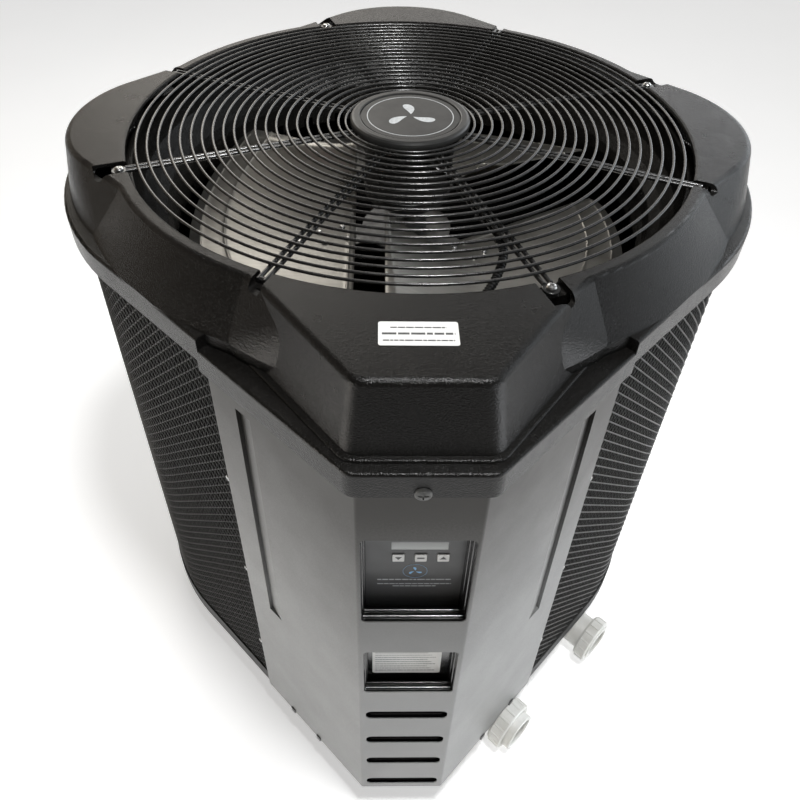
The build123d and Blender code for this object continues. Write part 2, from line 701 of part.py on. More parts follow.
def terminal_block():
    y = BOX_Y[1] - 1.7
    base = block(-75, 75, y - 25, y, 650, 672)
    for k in range(6):
        x = -62.5 + 25 * k
        base = base - block(x - 9, x + 9, y - 26, y - 12, 654, 668)
    return base


# ---- shroud -----------------------------------------------------------------------------------
FRONT_TOP = ((73.0, -565.0), (243.0, -331.0))
FRONT_BASE = ((81.0, -599.0), (266.0, -371.0))
FRONT_LEDGE_Z = LEDGE_Z - FRONT_DROP
RIM_ROUND = 10.0
LOBE_CORNER_R = 26.0
LIP_NOSE_R = 22.0
BEAD_OUT = 2.6
BEAD_H = 3.4
NOTCH_ANGLES = tuple(22.5 + 45 * k for k in range(8))
SEAT_NOTCH_W = 32.0
PLAIN_NOTCH_W = 19.0
NOTCH_FLOOR = 1087.5
BOSS_H = 16.0
SEAT_ANGLES = (-157.5, -67.5, 22.5, 112.5)
FOOT_SEAT_R = 436.0


def trapezoid(points, shrink=0.0):
    (x0, y0), (x1, y1) = points
    x0, y0, x1 = x0 - shrink * 0.7, y0 + shrink, x1 - shrink * 1.2
    return outline((-x0, y0), (x0, y0), (x1, y1), (-x1, y1))


LOBE_CORNER_X = 77.0        # about where the front lobe's two upright corners stand, at half height


def front_lobe(shrink, z_top, z_low, round_r):
    base = Pos(0, 0, z_low) * trapezoid(FRONT_BASE, shrink)
    top = Pos(0, 0, z_top) * trapezoid(FRONT_TOP, shrink)
    solid = loft([base, top], ruled=True)
    middle_z = (z_top + z_low) / 2
    upright = [e for e in solid.edges() if abs(e.center().Z - middle_z) < 2]
    corners = [e for e in upright if abs(abs(e.center().X) - LOBE_CORNER_X) < 12]
    solid = fillet(corners, LOBE_CORNER_R)
    if round_r:
        top = solid.faces().sort_by(Axis.Z)[-1]
        edges = [e for e in top.edges() if e.center().Y < FRONT_TOP[1][1] - 5]
        solid = fillet(edges, round_r)
    return solid


def corner_lobes(shrink, z_top, round_r):
    """Three rounded corners; the fourth is inside the front lobe."""
    low = diamond(LOBE_BASE_HALF - shrink, LOBE_BASE_R - shrink)
    high = diamond(LOBE_TOP_HALF - shrink, LOBE_TOP_R - shrink)
    solid = loft([Pos(0, 0, LEDGE_Z) * low, Pos(0, 0, z_top) * high], ruled=True)
    if round_r:
        solid = fillet(solid.faces().sort_by(Axis.Z)[-1].edges(), round_r)
    return solid + prism(low, FRONT_LEDGE_Z - SKIN - 5, LEDGE_Z)


def round_wall(shrink, z_top, round_r):
    cone = turned((0, FRONT_LEDGE_Z - SKIN - 5), (ROUND_BASE_R - shrink, FRONT_LEDGE_Z - SKIN - 5),
                  (ROUND_BASE_R - shrink, LEDGE_Z), (ROUND_TOP_R - shrink, z_top), (0, z_top))
    if round_r:
        edge = [e for e in cone.edges() if abs(e.center().Z - z_top) < 0.1 and e.length > 1000]
        cone = fillet(edge, round_r)
    return cone


def lip():
    """Side and back lip, and the lower lip across the front panel."""
    face = diamond(LIP_HALF, LIP_CORNER_R, LIP_FRONT_Y, LIP_NOSE_R)
    side = prism(face - wedge(LIP_STEP_S), LEDGE_Z - LIP_SKIRT, LEDGE_Z)
    front = prism(face & wedge(LIP_STEP_S + SKIN), FRONT_LEDGE_Z - LIP_SKIRT, FRONT_LEDGE_Z)
    return soften_top(side, LEDGE_Z, 4.0) + soften_top(front, FRONT_LEDGE_Z, 4.0)


def lip_void():
    """Hollow inside both lips; the riser between their two levels keeps its wall."""
    face = diamond(LIP_HALF - SKIN, LIP_CORNER_R - SKIN, LIP_FRONT_Y + SKIN, LIP_NOSE_R - SKIN)
    below = LEDGE_Z - 100
    low = prism(face, below, FRONT_LEDGE_Z - SKIN)
    return low + prism(face - wedge(LIP_STEP_S + SKIN), below, LEDGE_Z - SKIN)


def wall_bead():
    """Small rounded step along the foot of the front wall."""
    face = trapezoid(FRONT_BASE, -BEAD_OUT)
    corners = [v for v in face.vertices() if v.Y < FRONT_BASE[0][1]]
    face = fillet(corners, LOBE_CORNER_R + BEAD_OUT)
    solid = prism(face, FRONT_LEDGE_Z - 1, FRONT_LEDGE_Z + BEAD_H)
    edges = [e for e in solid.faces().sort_by(Axis.Z)[-1].edges() if e.center().Y < FRONT_BASE[1][1] - 5]
    return fillet(edges, BEAD_H - 0.8)


def soften_top(solid, z, r):
    """Round the outer top edges of a lip piece."""
    edges = [e for e in solid.edges()
             if abs(e.bounding_box().min.Z - z) < 0.01 and abs(e.bounding_box().max.Z - z) < 0.01
             and not is_wedge_cut(e)]
    return fillet(edges, r)


def is_wedge_cut(edge):
    """True for the straight ends of a lip piece, which meet its neighbour."""
    start, end = edge.position_at(0), edge.position_at(1)
    for sign in (1, -1):
        a = sign * start.X + start.Y
        b = sign * end.X + end.Y
        if abs(a - b) < 0.01 and abs(a) < 220 and a < 0:
            return True
    return False


def notch_tool(z0, z1, width, r0, r1):
    return block(r0, r1, -width / 2, width / 2, z0, z1)


def notch_width(angle):
    """Wide where a guard foot is screwed down, narrow where a spoke only rests."""
    seats = [seat % 360 for seat in SEAT_ANGLES]
    return SEAT_NOTCH_W if angle in seats else PLAIN_NOTCH_W


def top_shroud():
    mould = round_wall(0, RIM_Z, RIM_ROUND) + corner_lobes(0, RIM_Z, RIM_ROUND)
    lobe_foot = FRONT_LEDGE_Z - SKIN - 5
    mould = mould + front_lobe(0, RIM_Z, lobe_foot, RIM_ROUND)
    limit = prism(diamond(LIP_HALF, LIP_CORNER_R, LIP_FRONT_Y, LIP_NOSE_R), lobe_foot, RIM_Z + 1)
    mould = (mould & limit) + lip() + wall_bead()
    void = round_wall(SKIN, RIM_Z - SKIN, 0) + corner_lobes(SKIN, RIM_Z - SKIN, 0)
    void = void + front_lobe(SKIN, RIM_Z - SKIN, lobe_foot, 0)
    inner_limit = diamond(LIP_HALF - SKIN, LIP_CORNER_R - SKIN, LIP_FRONT_Y + SKIN, LIP_NOSE_R - SKIN)
    void = void & prism(inner_limit, lobe_foot, RIM_Z)
    body = mould - void - lip_void()
    bosses = []
    for angle in NOTCH_ANGLES:
        box = notch_tool(NOTCH_FLOOR - BOSS_H, RIM_Z - 2, notch_width(angle) + 10, HOLE_R - 6, 446)
        boss = Rot(0, 0, angle + FAN_YAW) * box
        bosses.append(boss & mould)
    body = union([body] + bosses)
    throat = turned((0, 900), (HOLE_R, 900), (HOLE_R, RIM_Z - 4), (HOLE_R + 1.2, RIM_Z - 1.2),
                    (HOLE_R + 4, RIM_Z), (HOLE_R + 4, RIM_Z + 5), (0, RIM_Z + 5))
    body = body - throat
    for angle in NOTCH_ANGLES:
        tool = notch_tool(NOTCH_FLOOR, RIM_Z + 5, notch_width(angle), HOLE_R - 20, 470)
        tool = fillet(tool.edges().filter_by(Axis.X).sort_by(Axis.Z)[:2], 4)
        body = body - Rot(0, 0, angle + FAN_YAW) * tool
    for angle in SEAT_ANGLES:
        pilot = Pos(FOOT_SEAT_R, 0, 0) * drum(3.3, NOTCH_FLOOR - BOSS_H - 1, NOTCH_FLOOR + 1)
        body = body - Rot(0, 0, angle + FAN_YAW) * pilot
    return body - (Pos(0, LIP_FRONT_Y, LIP_SCREW_Z) * Rot(90, 0, 0) * Cylinder(4.4, 30))


THROAT_R = 378.0
THROAT_LOW = 925.0
TAB_COUNT = 36


def venturi_ring():
    """Bell-mouthed air duct around the fan, with a castellated lower edge."""
    top = NOTCH_FLOOR - BOSS_H - 0.3
    wall = 4.0
    inner = [(HOLE_R - 4, top), (HOLE_R - 5, top - 20), (HOLE_R - 12, top - 45), (HOLE_R - 26, top - 66),
             (THROAT_R + 6, top - 82), (THROAT_R, top - 96), (THROAT_R, THROAT_LOW)]
    outer = [(r + wall, z) for r, z in reversed(inner)]
    flange = [(HOLE_R + 9, top - 4), (HOLE_R + 9, top)]
    ring = turned(*inner, *outer[:-1], (HOLE_R, top - 4), *flange)
    slot = block(THROAT_R - 5, THROAT_R + 12, -9, 9, THROAT_LOW - 1, THROAT_LOW + 16)
    for k in range(TAB_COUNT):
        ring = ring - Rot(0, 0, k * 360 / TAB_COUNT) * slot
    passage = Pos(*CABLE_WALL_XY, CABLE_WALL_Z) * Rot(90, 0, 0) * Cylinder(13.0, 80)
    return ring - passage


def notice_label():
    label = block(-48, 38, -513, -475, RIM_Z + 0.05, RIM_Z + 0.45)
    return fillet(label.edges().filter_by(Axis.Z), 3)


# ---- guard -------------------------------------------------------------------------------------
WIRE_R = 2.1
RING_OUT_R = 410.0
RING_PITCH = 15.75
RING_COUNT = 20
ROD_R = 2.9
ROD_SPREAD = 4.6
ROD_Z = RIM_Z - WIRE_R - ROD_R + 0.2
ROD_START_R = 62.0
CAP_R = 92.5
CAP_TOP = 1108.0
EYE_R = 11.0


def guard_rings():
    radii = [RING_OUT_R - RING_PITCH * k for k in range(RING_COUNT)] + [99.5]
    return group(Pos(0, 0, RIM_Z) * Torus(r, WIRE_R) for r in radii)


def spoke(eyelet):
    end = FOOT_SEAT_R - EYE_R + 2 if eyelet else FOOT_SEAT_R + 2
    rods = [Pos(ROD_START_R, side * ROD_SPREAD, ROD_Z) * Rot(0, 90, 0) * Cylinder(ROD_R, end - ROD_START_R,
                                                                               align=BASE_ALIGN)
            for side in (-1, 1)]
    body = union(rods)
    if eyelet:
        eye = drum(EYE_R, NOTCH_FLOOR + 0.1, NOTCH_FLOOR + 6.6, FOOT_SEAT_R, 0)
        eye = eye - drum(4.2, NOTCH_FLOOR - 1, NOTCH_FLOOR + 8, FOOT_SEAT_R, 0)
        eye = fillet(eye.edges().filter_by(GeomType.CIRCLE).group_by(Axis.Z)[-1], 1.2)
        return body + eye
    cross = Pos(end - 3, 0, ROD_Z) * Rot(90, 0, 0) * Cylinder(ROD_R - 0.2, 2 * ROD_SPREAD)
    return body + cross


def guard_spokes():
    spokes = []
    for k in range(8):
        angle = -157.5 + 45 * k
        spokes.append(Rot(0, 0, angle + FAN_YAW) * spoke(k % 2 == 0))
    return group(spokes)


def guard_screws():
    screw = Pos(FOOT_SEAT_R, 0, NOTCH_FLOOR + 6.7) * (pan_head(6.5, 4.2) + drum(3.0, -20, 0))
    return group(Rot(0, 0, a + FAN_YAW) * screw for a in SEAT_ANGLES)


def guard_cap():
    z = CAP_TOP
    r = CAP_R
    top = [(0, z - 3.5), (r - 15.5, z - 3.5), (r - 14.5, z - 0.6), (r - 13, z), (r - 6, z)]
    rim = [(r - 2.6, z - 1.2), (r - 0.6, z - 3.8), (r, z - 7), (r, z - 10.9)]
    inside = [(r - 3, z - 10.9), (r - 3, z - 8), (0, z - 8)]
    return turned(*top, *rim, *inside)


def cap_badge():
    return drum(CAP_R - 17, CAP_TOP - 3.4, CAP_TOP - 1.6)


# ---- fan motor -----------------------------------------------------------------------------------
MOTOR_R = 70.0
MOTOR_Z = (955.0, 1083.0)
SHAFT_R = 7.9
BEARING_R = 8.0
HUB_Z = (893.0, 930.0)
PLATE_TOP = ROD_Z - ROD_R - 0.1


def motor_mount():
    plate = drum(82, MOTOR_Z[1] + 0.2, PLATE_TOP)
    holes = union(Rot(0, 0, 45 + 90 * k) * drum(3.6, 1000, 1200, 56, 0) for k in range(4))
    return plate - holes


def fan_motor():
    z0, z1 = MOTOR_Z
    can = turned((0, z0), (34, z0), (MOTOR_R - 8, z0 + 12), (MOTOR_R, z0 + 20), (MOTOR_R, z1 - 14),
                 (MOTOR_R - 6, z1), (0, z1))
    bands = Pos(0, 0, z0 + 34) * Torus(MOTOR_R, 1.6) + Pos(0, 0, z1 - 30) * Torus(MOTOR_R, 1.6)
    bore = drum(BEARING_R, z0 - 1, z0 + 60)
    holes = union(Rot(0, 0, 45 + 90 * k) * drum(3.4, z1 - 15, z1 + 1, 56, 0) for k in range(4))
    entry = Rot(0, 0, CABLE_ANGLE) * (Pos(MOTOR_R, 0, CABLE_EXIT_Z) * Rot(0, 90, 0) * Cylinder(9.0, 8))
    return can + bands + entry - bore - holes


def motor_shaft():
    return drum(SHAFT_R, HUB_Z[0] - 6, MOTOR_Z[0] + 55)


def fan_hub():
    """Shaft hub with three spider arms that run out under the blades."""
    z0, z1 = HUB_Z
    boss = turned((SHAFT_R, z0), (32, z0), (34, z0 + 3), (34, z1 - 12), (26, z1), (SHAFT_R, z1))
    boss = boss - block(SHAFT_R - 3, SHAFT_R + 40, -2.5, 2.5, z1 - 11, z1 - 6)
    arm = block(0, 205, -24, 24, ARM_Z - 3.0, ARM_Z) - drum(33, 0, 2000)
    arm = fillet(arm.edges().filter_by(Axis.Z).sort_by(Axis.X)[-2:], 20)
    arms = [Rot(0, 0, BLADE_MID + 120 * k) * arm for k in range(3)]
    plate = drum(75, ARM_Z - 3, ARM_Z) - drum(20, 0, 2000)
    return union([boss, plate] + arms)


BLADE_TIP_R = 364.0
BLADE_T = 2.0
BLADE_LEAD_Z = RIM_Z - 190.0
BLADE_RISE = 70.0
BLADE_LEAD_DEG = 256.0
BLADE_SPAN_DEG = 112.0
BLADE_MID = 200.0
BLADE_ROOT_X = -86.0
BLADE_CORNER_R = 26.0
ARM_Z = BLADE_LEAD_Z - 1.0


def blade_height(angle_deg, radius):
    """Camber: flat at the leading edge, rising ever more steeply to the trailing edge."""
    w = max(0.0, (BLADE_LEAD_DEG - angle_deg) / BLADE_SPAN_DEG)
    tip = max(0.0, (radius - 330.0) / 36.0)
    return BLADE_LEAD_Z + BLADE_RISE * w ** 4 - 9.0 * tip ** 2


def fan_blade():
    rows = []
    for i in range(27):
        angle = 126.0 + 138.0 * i / 26
        a = math.radians(angle)
        rows.append([Vector(r * math.cos(a), r * math.sin(a), blade_height(angle, r))
                     for r in [70 + 12.5 * j for j in range(25)]])
    surface = Face.make_surface_from_array_of_points(rows)
    thick = Solid.extrude(surface, Vector(0, 0, BLADE_T))
    tip_angle = math.radians(144.5)
    corner = (BLADE_TIP_R * 1.1 * math.cos(tip_angle), BLADE_TIP_R * 1.1 * math.sin(tip_angle))
    region = outline((BLADE_ROOT_X, 92), (BLADE_ROOT_X - 6, -500), (-700, -500),
                     (-700, corner[1] + 140), corner)
    region = region & Circle(BLADE_TIP_R)
    tips = [v for v in region.vertices() if math.hypot(v.X, v.Y) > BLADE_TIP_R - 1]
    region = fillet(tips, BLADE_CORNER_R)
    roots = [v for v in region.vertices() if math.hypot(v.X, v.Y) < 140]
    region = fillet(roots, 12)
    return thick & prism(region, 850, 1090)


def fan_blades():
    blade = fan_blade()
    return group(Rot(0, 0, 120 * k) * blade for k in range(3))


RIVET_SPOTS = ((110.0, -14.0), (110.0, 14.0), (150.0, -14.0), (150.0, 14.0), (188.0, 0.0))


def blade_rivets():
    rivets = []
    for k in range(3):
        for r, t in RIVET_SPOTS:
            angle = BLADE_MID + math.degrees(math.atan2(t, r))
            top = blade_height(angle, math.hypot(r, t)) + BLADE_T + 0.25
            foot = ARM_Z - top
            rivet = turned((0, foot), (2.4, foot), (2.4, 0), (5.5, 0), (4.6, 2.2), (2.4, 3.4), (0, 3.4))
            rivets.append(Rot(0, 0, BLADE_MID + 120 * k) * (Pos(r, t, top) * rivet))
    return group(rivets)


# ---- motor cable -----------------------------------------------------------------------------------
CABLE_R = 6.0
CABLE_ANGLE = -67.5 + FAN_YAW
CABLE_EXIT_Z = 1066.0
CABLE_RUN_Z = ROD_Z - ROD_R - CABLE_R - 0.3
CABLE_WALL_XY = (62.0, -405.0)
CABLE_WALL_Z = 1040.0
CABLE_DROP_XY = (52.0, -478.0)


def spoke_point(radius, z):
    a = math.radians(CABLE_ANGLE)
    return (radius * math.cos(a), radius * math.sin(a), z)


def cable_route():
    under_spoke = [spoke_point(MOTOR_R + 4.2, CABLE_EXIT_Z), spoke_point(108, CABLE_EXIT_Z)]
    under_spoke += [spoke_point(radius, CABLE_RUN_Z) for radius in (150, 240, 330)]
    through_wall = [(95, -362, 1062), (CABLE_WALL_XY[0], CABLE_WALL_XY[1] + 12, CABLE_WALL_Z + 4)]
    down = [(54, -452, 1022), (*CABLE_DROP_XY, 980), (*CABLE_DROP_XY, BOX_Z[1] - 3)]
    return under_spoke + through_wall + down


def motor_cable():
    points = cable_route()
    radii = []
    for before, here, after in zip(points, points[1:], points[2:]):
        a = Vector(*here) - Vector(*before)
        b = Vector(*after) - Vector(*here)
        turn = math.radians(max(a.get_angle(b), 0.01))
        radii.append(0.42 * min(a.length, b.length) / math.tan(turn / 2))
    points, radii = drop_straight(points, radii)
    print("cable radii", [round(r) for r in radii])
    path = FilletPolyline(*points, radius=radii)
    section = Plane(origin=path.position_at(0), z_dir=path.tangent_at(0)) * Circle(CABLE_R)
    return sweep(section, path)


def drop_straight(points, radii):
    """Leave out route points that lie on a straight run."""
    kept = [points[0]]
    kept_radii = []
    for point, radius in zip(points[1:-1], radii):
        if radius < 20000:
            kept.append(point)
            kept_radii.append(radius)
    kept.append(points[-1])
    return kept, kept_radii


# ---- write every node --------------------------------------------------------------------------------
NODES = {
    "base_plinth": base_plinth,
    "base_pan": base_pan,
    "conduit_bushing": conduit_bushing,
    "inlet_pipe": inlet_pipe,
    "outlet_pipe": outlet_pipe,
    "inlet_union_tail": lambda: union_tail(INLET_S, INLET_NUT_N),
    "inlet_union_nut": lambda: union_nut(INLET_S, INLET_NUT_N, INLET_NUT_LEN),
    "inlet_union_socket": lambda: union_socket(INLET_S, INLET_NUT_N, INLET_END_N),
    "outlet_union_tail": lambda: union_tail(OUTLET_S, OUTLET_NUT_N),
    "outlet_union_nut": lambda: union_nut(OUTLET_S, OUTLET_NUT_N, OUTLET_NUT_LEN),
    "outlet_union_socket": lambda: union_socket(OUTLET_S, OUTLET_NUT_N, OUTLET_END_N),
    "heat_exchanger": heat_exchanger,
    "exchanger_stand": exchanger_stand,
    "compressor": compressor,
    "compressor_mounts": compressor_mounts,
    "terminal_cover": terminal_cover,
    "accumulator": accumulator,
    "filter_drier": filter_drier,
    "expansion_valve": expansion_valve,
    "discharge_line": discharge_line,
    "suction_lines": lambda: group([suction_line(), suction_header()]),
    "liquid_line": liquid_line,
    "distributor_lines": distributor_lines,
    "evaporator_fins": evaporator_fins,
    "evaporator_tubes": evaporator_tubes,
    "coil_guard": coil_guard,
    "coil_end_plates": coil_end_plates,
    "frame_posts": frame_posts,
    "front_panel": front_panel,
    "panel_clips": panel_clips,
    "coil_screws": coil_screws,
    "lip_screw": lip_screw,
    "control_bezel": control_bezel,
    "control_panel": control_panel,
    "display_lcd": display_lcd,
    "key_down": lambda: key_cap(KEY_X[0]),
    "key_mode": lambda: key_cap(KEY_X[1]),
    "key_up": lambda: key_cap(KEY_X[2]),
    "controller_board": controller_board,
    "rating_bezel": rating_bezel,
    "rating_plate": rating_plate,
    "louvre_insert": louvre_insert,
    "electrical_box": electrical_box,
    "contactor": contactor,
    "run_capacitor": run_capacitor,
    "terminal_block": terminal_block,
    "top_shroud": top_shroud,
    "venturi_ring": venturi_ring,
    "notice_label": notice_label,
    "guard_rings": guard_rings,
    "guard_spokes": guard_spokes,
    "guard_screws": guard_screws,
    "guard_cap": guard_cap,
    "cap_badge": cap_badge,
    "motor_mount": motor_mount,
    "fan_motor": fan_motor,
    "fan_rotor": lambda: union([motor_shaft(), fan_hub()]),
    "fan_blades": fan_blades,
    "blade_rivets": blade_rivets,
    "motor_cable": motor_cable,
}

for node, make in NODES.items():
    save(make(), node)
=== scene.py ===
import json
import math
import random

import bmesh
import bpy
from mathutils import Matrix, Vector


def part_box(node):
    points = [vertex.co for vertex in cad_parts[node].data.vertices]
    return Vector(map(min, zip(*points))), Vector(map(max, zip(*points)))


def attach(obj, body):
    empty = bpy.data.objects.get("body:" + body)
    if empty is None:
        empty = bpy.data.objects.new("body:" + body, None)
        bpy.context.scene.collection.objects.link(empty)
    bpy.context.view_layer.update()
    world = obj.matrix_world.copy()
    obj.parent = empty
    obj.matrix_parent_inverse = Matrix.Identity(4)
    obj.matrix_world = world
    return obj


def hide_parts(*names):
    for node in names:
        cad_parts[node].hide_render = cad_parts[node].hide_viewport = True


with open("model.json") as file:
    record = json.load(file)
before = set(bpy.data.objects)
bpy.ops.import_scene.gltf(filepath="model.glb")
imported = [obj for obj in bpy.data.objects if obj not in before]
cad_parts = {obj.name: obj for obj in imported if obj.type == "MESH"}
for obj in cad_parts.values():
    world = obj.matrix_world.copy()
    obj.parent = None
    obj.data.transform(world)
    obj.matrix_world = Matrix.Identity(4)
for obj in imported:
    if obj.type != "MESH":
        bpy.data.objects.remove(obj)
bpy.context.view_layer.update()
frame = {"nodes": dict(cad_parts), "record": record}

# Looks of a pool heat pump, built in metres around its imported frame.
# Front is -Y, +Z up, the origin is on the floor under the fan axis.

NODES = frame["nodes"]
RECORD = frame["record"]
CABINET = "cabinet"
FAN = "fan"
ROOT2 = math.sqrt(2.0)

# ---- coil, shared with the frame -------------------------------------------------
COIL_HALF = 0.473           # outer faces of the fins, square out from the fan axis
COIL_CORNER_R = 0.382
COIL_DEPTH = 0.022
COIL_START_S = -0.1115      # where the coil starts beside the front panel's wings
FIN_PITCH = 0.0060
FIN_THICK = 0.0011
CORE_SETBACK = 0.0085       # the dense fins start this far behind the visible edges
NET_PITCH = 0.0135          # between neighbouring strands, square to them
NET_STRAND_W = 0.0023
NET_STRAND_T = 0.0014
NET_LIFTS = (0.0003, 0.0012)    # how far the two families of strands stand off the coil
STRAND_PROFILE = ((-1.0, 0.0), (-0.8, 0.6), (-0.3, 1.0), (0.3, 1.0), (0.8, 0.6), (1.0, 0.0))
FIN_BACK_GAP = 0.001        # the fins and their dense core end this much short of the coil's depth
CORE_BACK_GAP = 0.0015
FIN_LEAN = 0.0003           # most that a fin's top may lean sideways
FIN_UNEVEN = 0.0005         # most that a fin's edge may sit back
CORE_STEPS = 160
FIN_SEED = 11

# ---- guard and cable ------------------------------------------------------------
GUARD_YAW = math.radians(-2.2)
CABLE_ANGLE = math.radians(-67.5) + GUARD_YAW
CABLE_R = 0.006
CABLE_VALLEY_R = 0.0047
CABLE_PITCH = 0.0042
CABLE_SIDES = 14
CABLE_CAP_Z = 1.066         # the cable's height where it leaves the guard's cap
CABLE_SPOKE_Z = 1.0839      # and where it hangs under the spoke
SPOKE_Z = 1.0862
TIE_RADII = (0.180, 0.262, 0.318)
TIE_SIDES = 28
TIE_HALF_W = 0.0022
TIE_HALF_SPAN = 0.0085      # inside of the strap, sideways and up from its middle
TIE_HALF_RISE = 0.0096
TIE_THICK = 0.0012
TIE_LOCK_X = (-0.0032, 0.0032)
TIE_LOCK_Y = (-0.0020, 0.0025)
TIE_LOCK_DROP = 0.003
TIE_LOCK_H = 0.0055
TIE_LOCK_OFFSET = 0.0105

# ---- fan blades, in metres and degrees, for the first of the three --------------------
BLADES = 3
BLADE_EDGE_X = 0.086        # the straight leading edge stands this far from the axis
BLADE_TIP_R = 0.364
BLADE_TIP_ROUND = 0.026     # radius of the two corners at the tip
BLADE_TRAIL = ((-0.086, 0.092), (-0.326, 0.2325))   # two points of the straight trailing edge
BLADE_LEAD_Z = 0.908        # under side at the leading edge
BLADE_RISE = 0.070          # height gained over BLADE_SPAN_DEG of turn from BLADE_LEAD_DEG
BLADE_LEAD_DEG = 256.0
BLADE_SPAN_DEG = 112.0
BLADE_SHEET = 0.002
TIP_FOLDS = ((0.305, 0.07), (0.345, 0.35))      # radius of each fold, and how steeply it turns down
LEAD_FOLD = 0.010           # from the leading edge to the bead beside it
LEAD_LIP = 0.004            # width of the turned-down lip at the leading edge, and its slope
LEAD_LIP_SLOPE = 0.25
BEAD_H = 0.0014
BEAD_W = 0.0017
CAMBER_POWER = 4            # the blade is flat at first and steep at its trailing edge
# where the blade's mesh has its rows: close together at the root, the folds and the tip
ROOT_ROWS = (BLADE_EDGE_X + 0.0005, 0.090, 0.095, 0.102, 0.110, 0.118, 0.1265)
MIDDLE_ROW = 0.138
MIDDLE_STEP = 0.013
MIDDLE_ROWS = 13
FOLD_STEP = 0.0012
TIP_ROWS = (0.315, 0.325, 0.335, 0.353, 0.357, 0.360, 0.362, 0.3633, BLADE_TIP_R - 0.0001)
LEAD_COLUMNS = (0.002, 0.004, 0.0064, 0.0076, 0.0088, 0.010, 0.0112, 0.0124, 0.0136, 0.018)
EVEN_COLUMNS = 30
WELD = 0.00002              # points nearer than this are one

# ---- camera, metres and degrees ---------------------------------------------------
CAMERA_PLACE = (-0.0488, -1.0953, 1.6335)
CAMERA_YAW = -1.528
CAMERA_PITCH = 41.78
CAMERA_ROLL = 1.352

# ---- room ---------------------------------------------------------------------------
BAND_STRENGTH = 1.65        # bright band low down
TOP_STRENGTH = 0.26         # overhead
VIEWER_SHARE = 0.16         # of that strength, behind the viewer
LEFT_SHARE = 0.32
RIGHT_SHARE = 1.40
FLOOR_HALF = 12.0
FLOOR_GLOW = 0.45           # the sheet under the unit is a light table

# ---- printed marks ------------------------------------------------------------------
MARK_H = 0.00012
EMBLEM_PLACE = (0.070, 0.091)   # on the control film, from its lower left corner
OVERLAY_EMBLEM_R = 0.0155
BADGE_EMBLEM_R = 0.0668
EMBLEM_STEPS = 64
EMBLEM_RING = 0.02          # shares of the emblem's radius: the ring's width,
PETAL_MIDDLE = 0.345        # the middle of a petal
PETAL_HALF = 0.255          # and half its length
PETAL_HALF_ANGLE = 0.30
PETAL_TWIST = 0.6
PETAL_STEPS = 20
NOTICE_SEED = 5
RATING_SEED = 8
OVERLAY_SEED = 3
DASH_LENGTHS = (1.6, 5.0)   # shortest and longest, as shares of the dash's height
DASH_GAP = 0.55
# rows of dashes: first and last u, then v and height, from the face's lower left corner
NOTICE_ROWS = ((0.013, 0.073, 0.0275, 0.0019), (0.004, 0.082, 0.0170, 0.0032),
               (0.005, 0.081, 0.0070, 0.0019))
OVERLAY_ROWS = ((0.022, 0.118, 0.070, 0.0022), (0.022, 0.118, 0.060, 0.0018),
                (0.042, 0.098, 0.0545, 0.0018))
RATING_HEADINGS = ((0.006, 0.052, 0.078, 0.0036), (0.010, 0.046, 0.090, 0.0036))
RATING_LINES = 9
RATING_LINE_U = (0.004, 0.092)
RATING_LINE_RAGGED = 0.006  # some lines end one or two of these sooner
RATING_LINE_V = 0.008       # of the lowest line, which is also the tallest
RATING_LINE_STEP = 0.0068
RATING_LINE_H = 0.0012
RATING_LOWEST_H = 0.0016
RATING_BARS = 5
RATING_BAR_U = 0.066
RATING_BAR_V = (0.076, 0.096)
RATING_BAR_STEP = 0.004
RATING_BAR_W = 0.002


# ---- camera, floor and light -------------------------------------------------------
def make_camera():
    """Camera at the viewing angle: above the front, looking down."""
    yaw = math.radians(CAMERA_YAW)
    pitch = math.radians(CAMERA_PITCH)
    roll = math.radians(CAMERA_ROLL)
    level = math.cos(pitch)
    forward = Vector((-math.sin(yaw) * level, math.cos(yaw) * level, -math.sin(pitch)))
    side = Vector((math.cos(yaw), math.sin(yaw), 0.0))
    upright = side.cross(forward)
    right = side * math.cos(roll) + upright * math.sin(roll)
    up = upright * math.cos(roll) - side * math.sin(roll)
    data = bpy.data.cameras.new("camera")
    data.sensor_width = 36.0
    data.lens = 34.22
    data.shift_x = 0.0095
    data.shift_y = -0.0814
    data.clip_start = 0.01
    camera = bpy.data.objects.new("camera", data)
    bpy.context.scene.collection.objects.link(camera)
    turn = Matrix((right, up, -forward)).transposed().to_4x4()
    camera.matrix_world = Matrix.Translation(CAMERA_PLACE) @ turn
    bpy.context.scene.camera = camera


def area_light(name, place, target, size, power, color=(1.0, 1.0, 1.0)):
    data = bpy.data.lights.new(name, "AREA")
    data.shape = "DISK"
    data.size = size
    data.energy = power
    data.color = color
    light = bpy.data.objects.new(name, data)
    light.location = place
    light.rotation_euler = (Vector(target) - Vector(place)).to_track_quat("-Z", "Y").to_euler()
    bpy.context.scene.collection.objects.link(light)


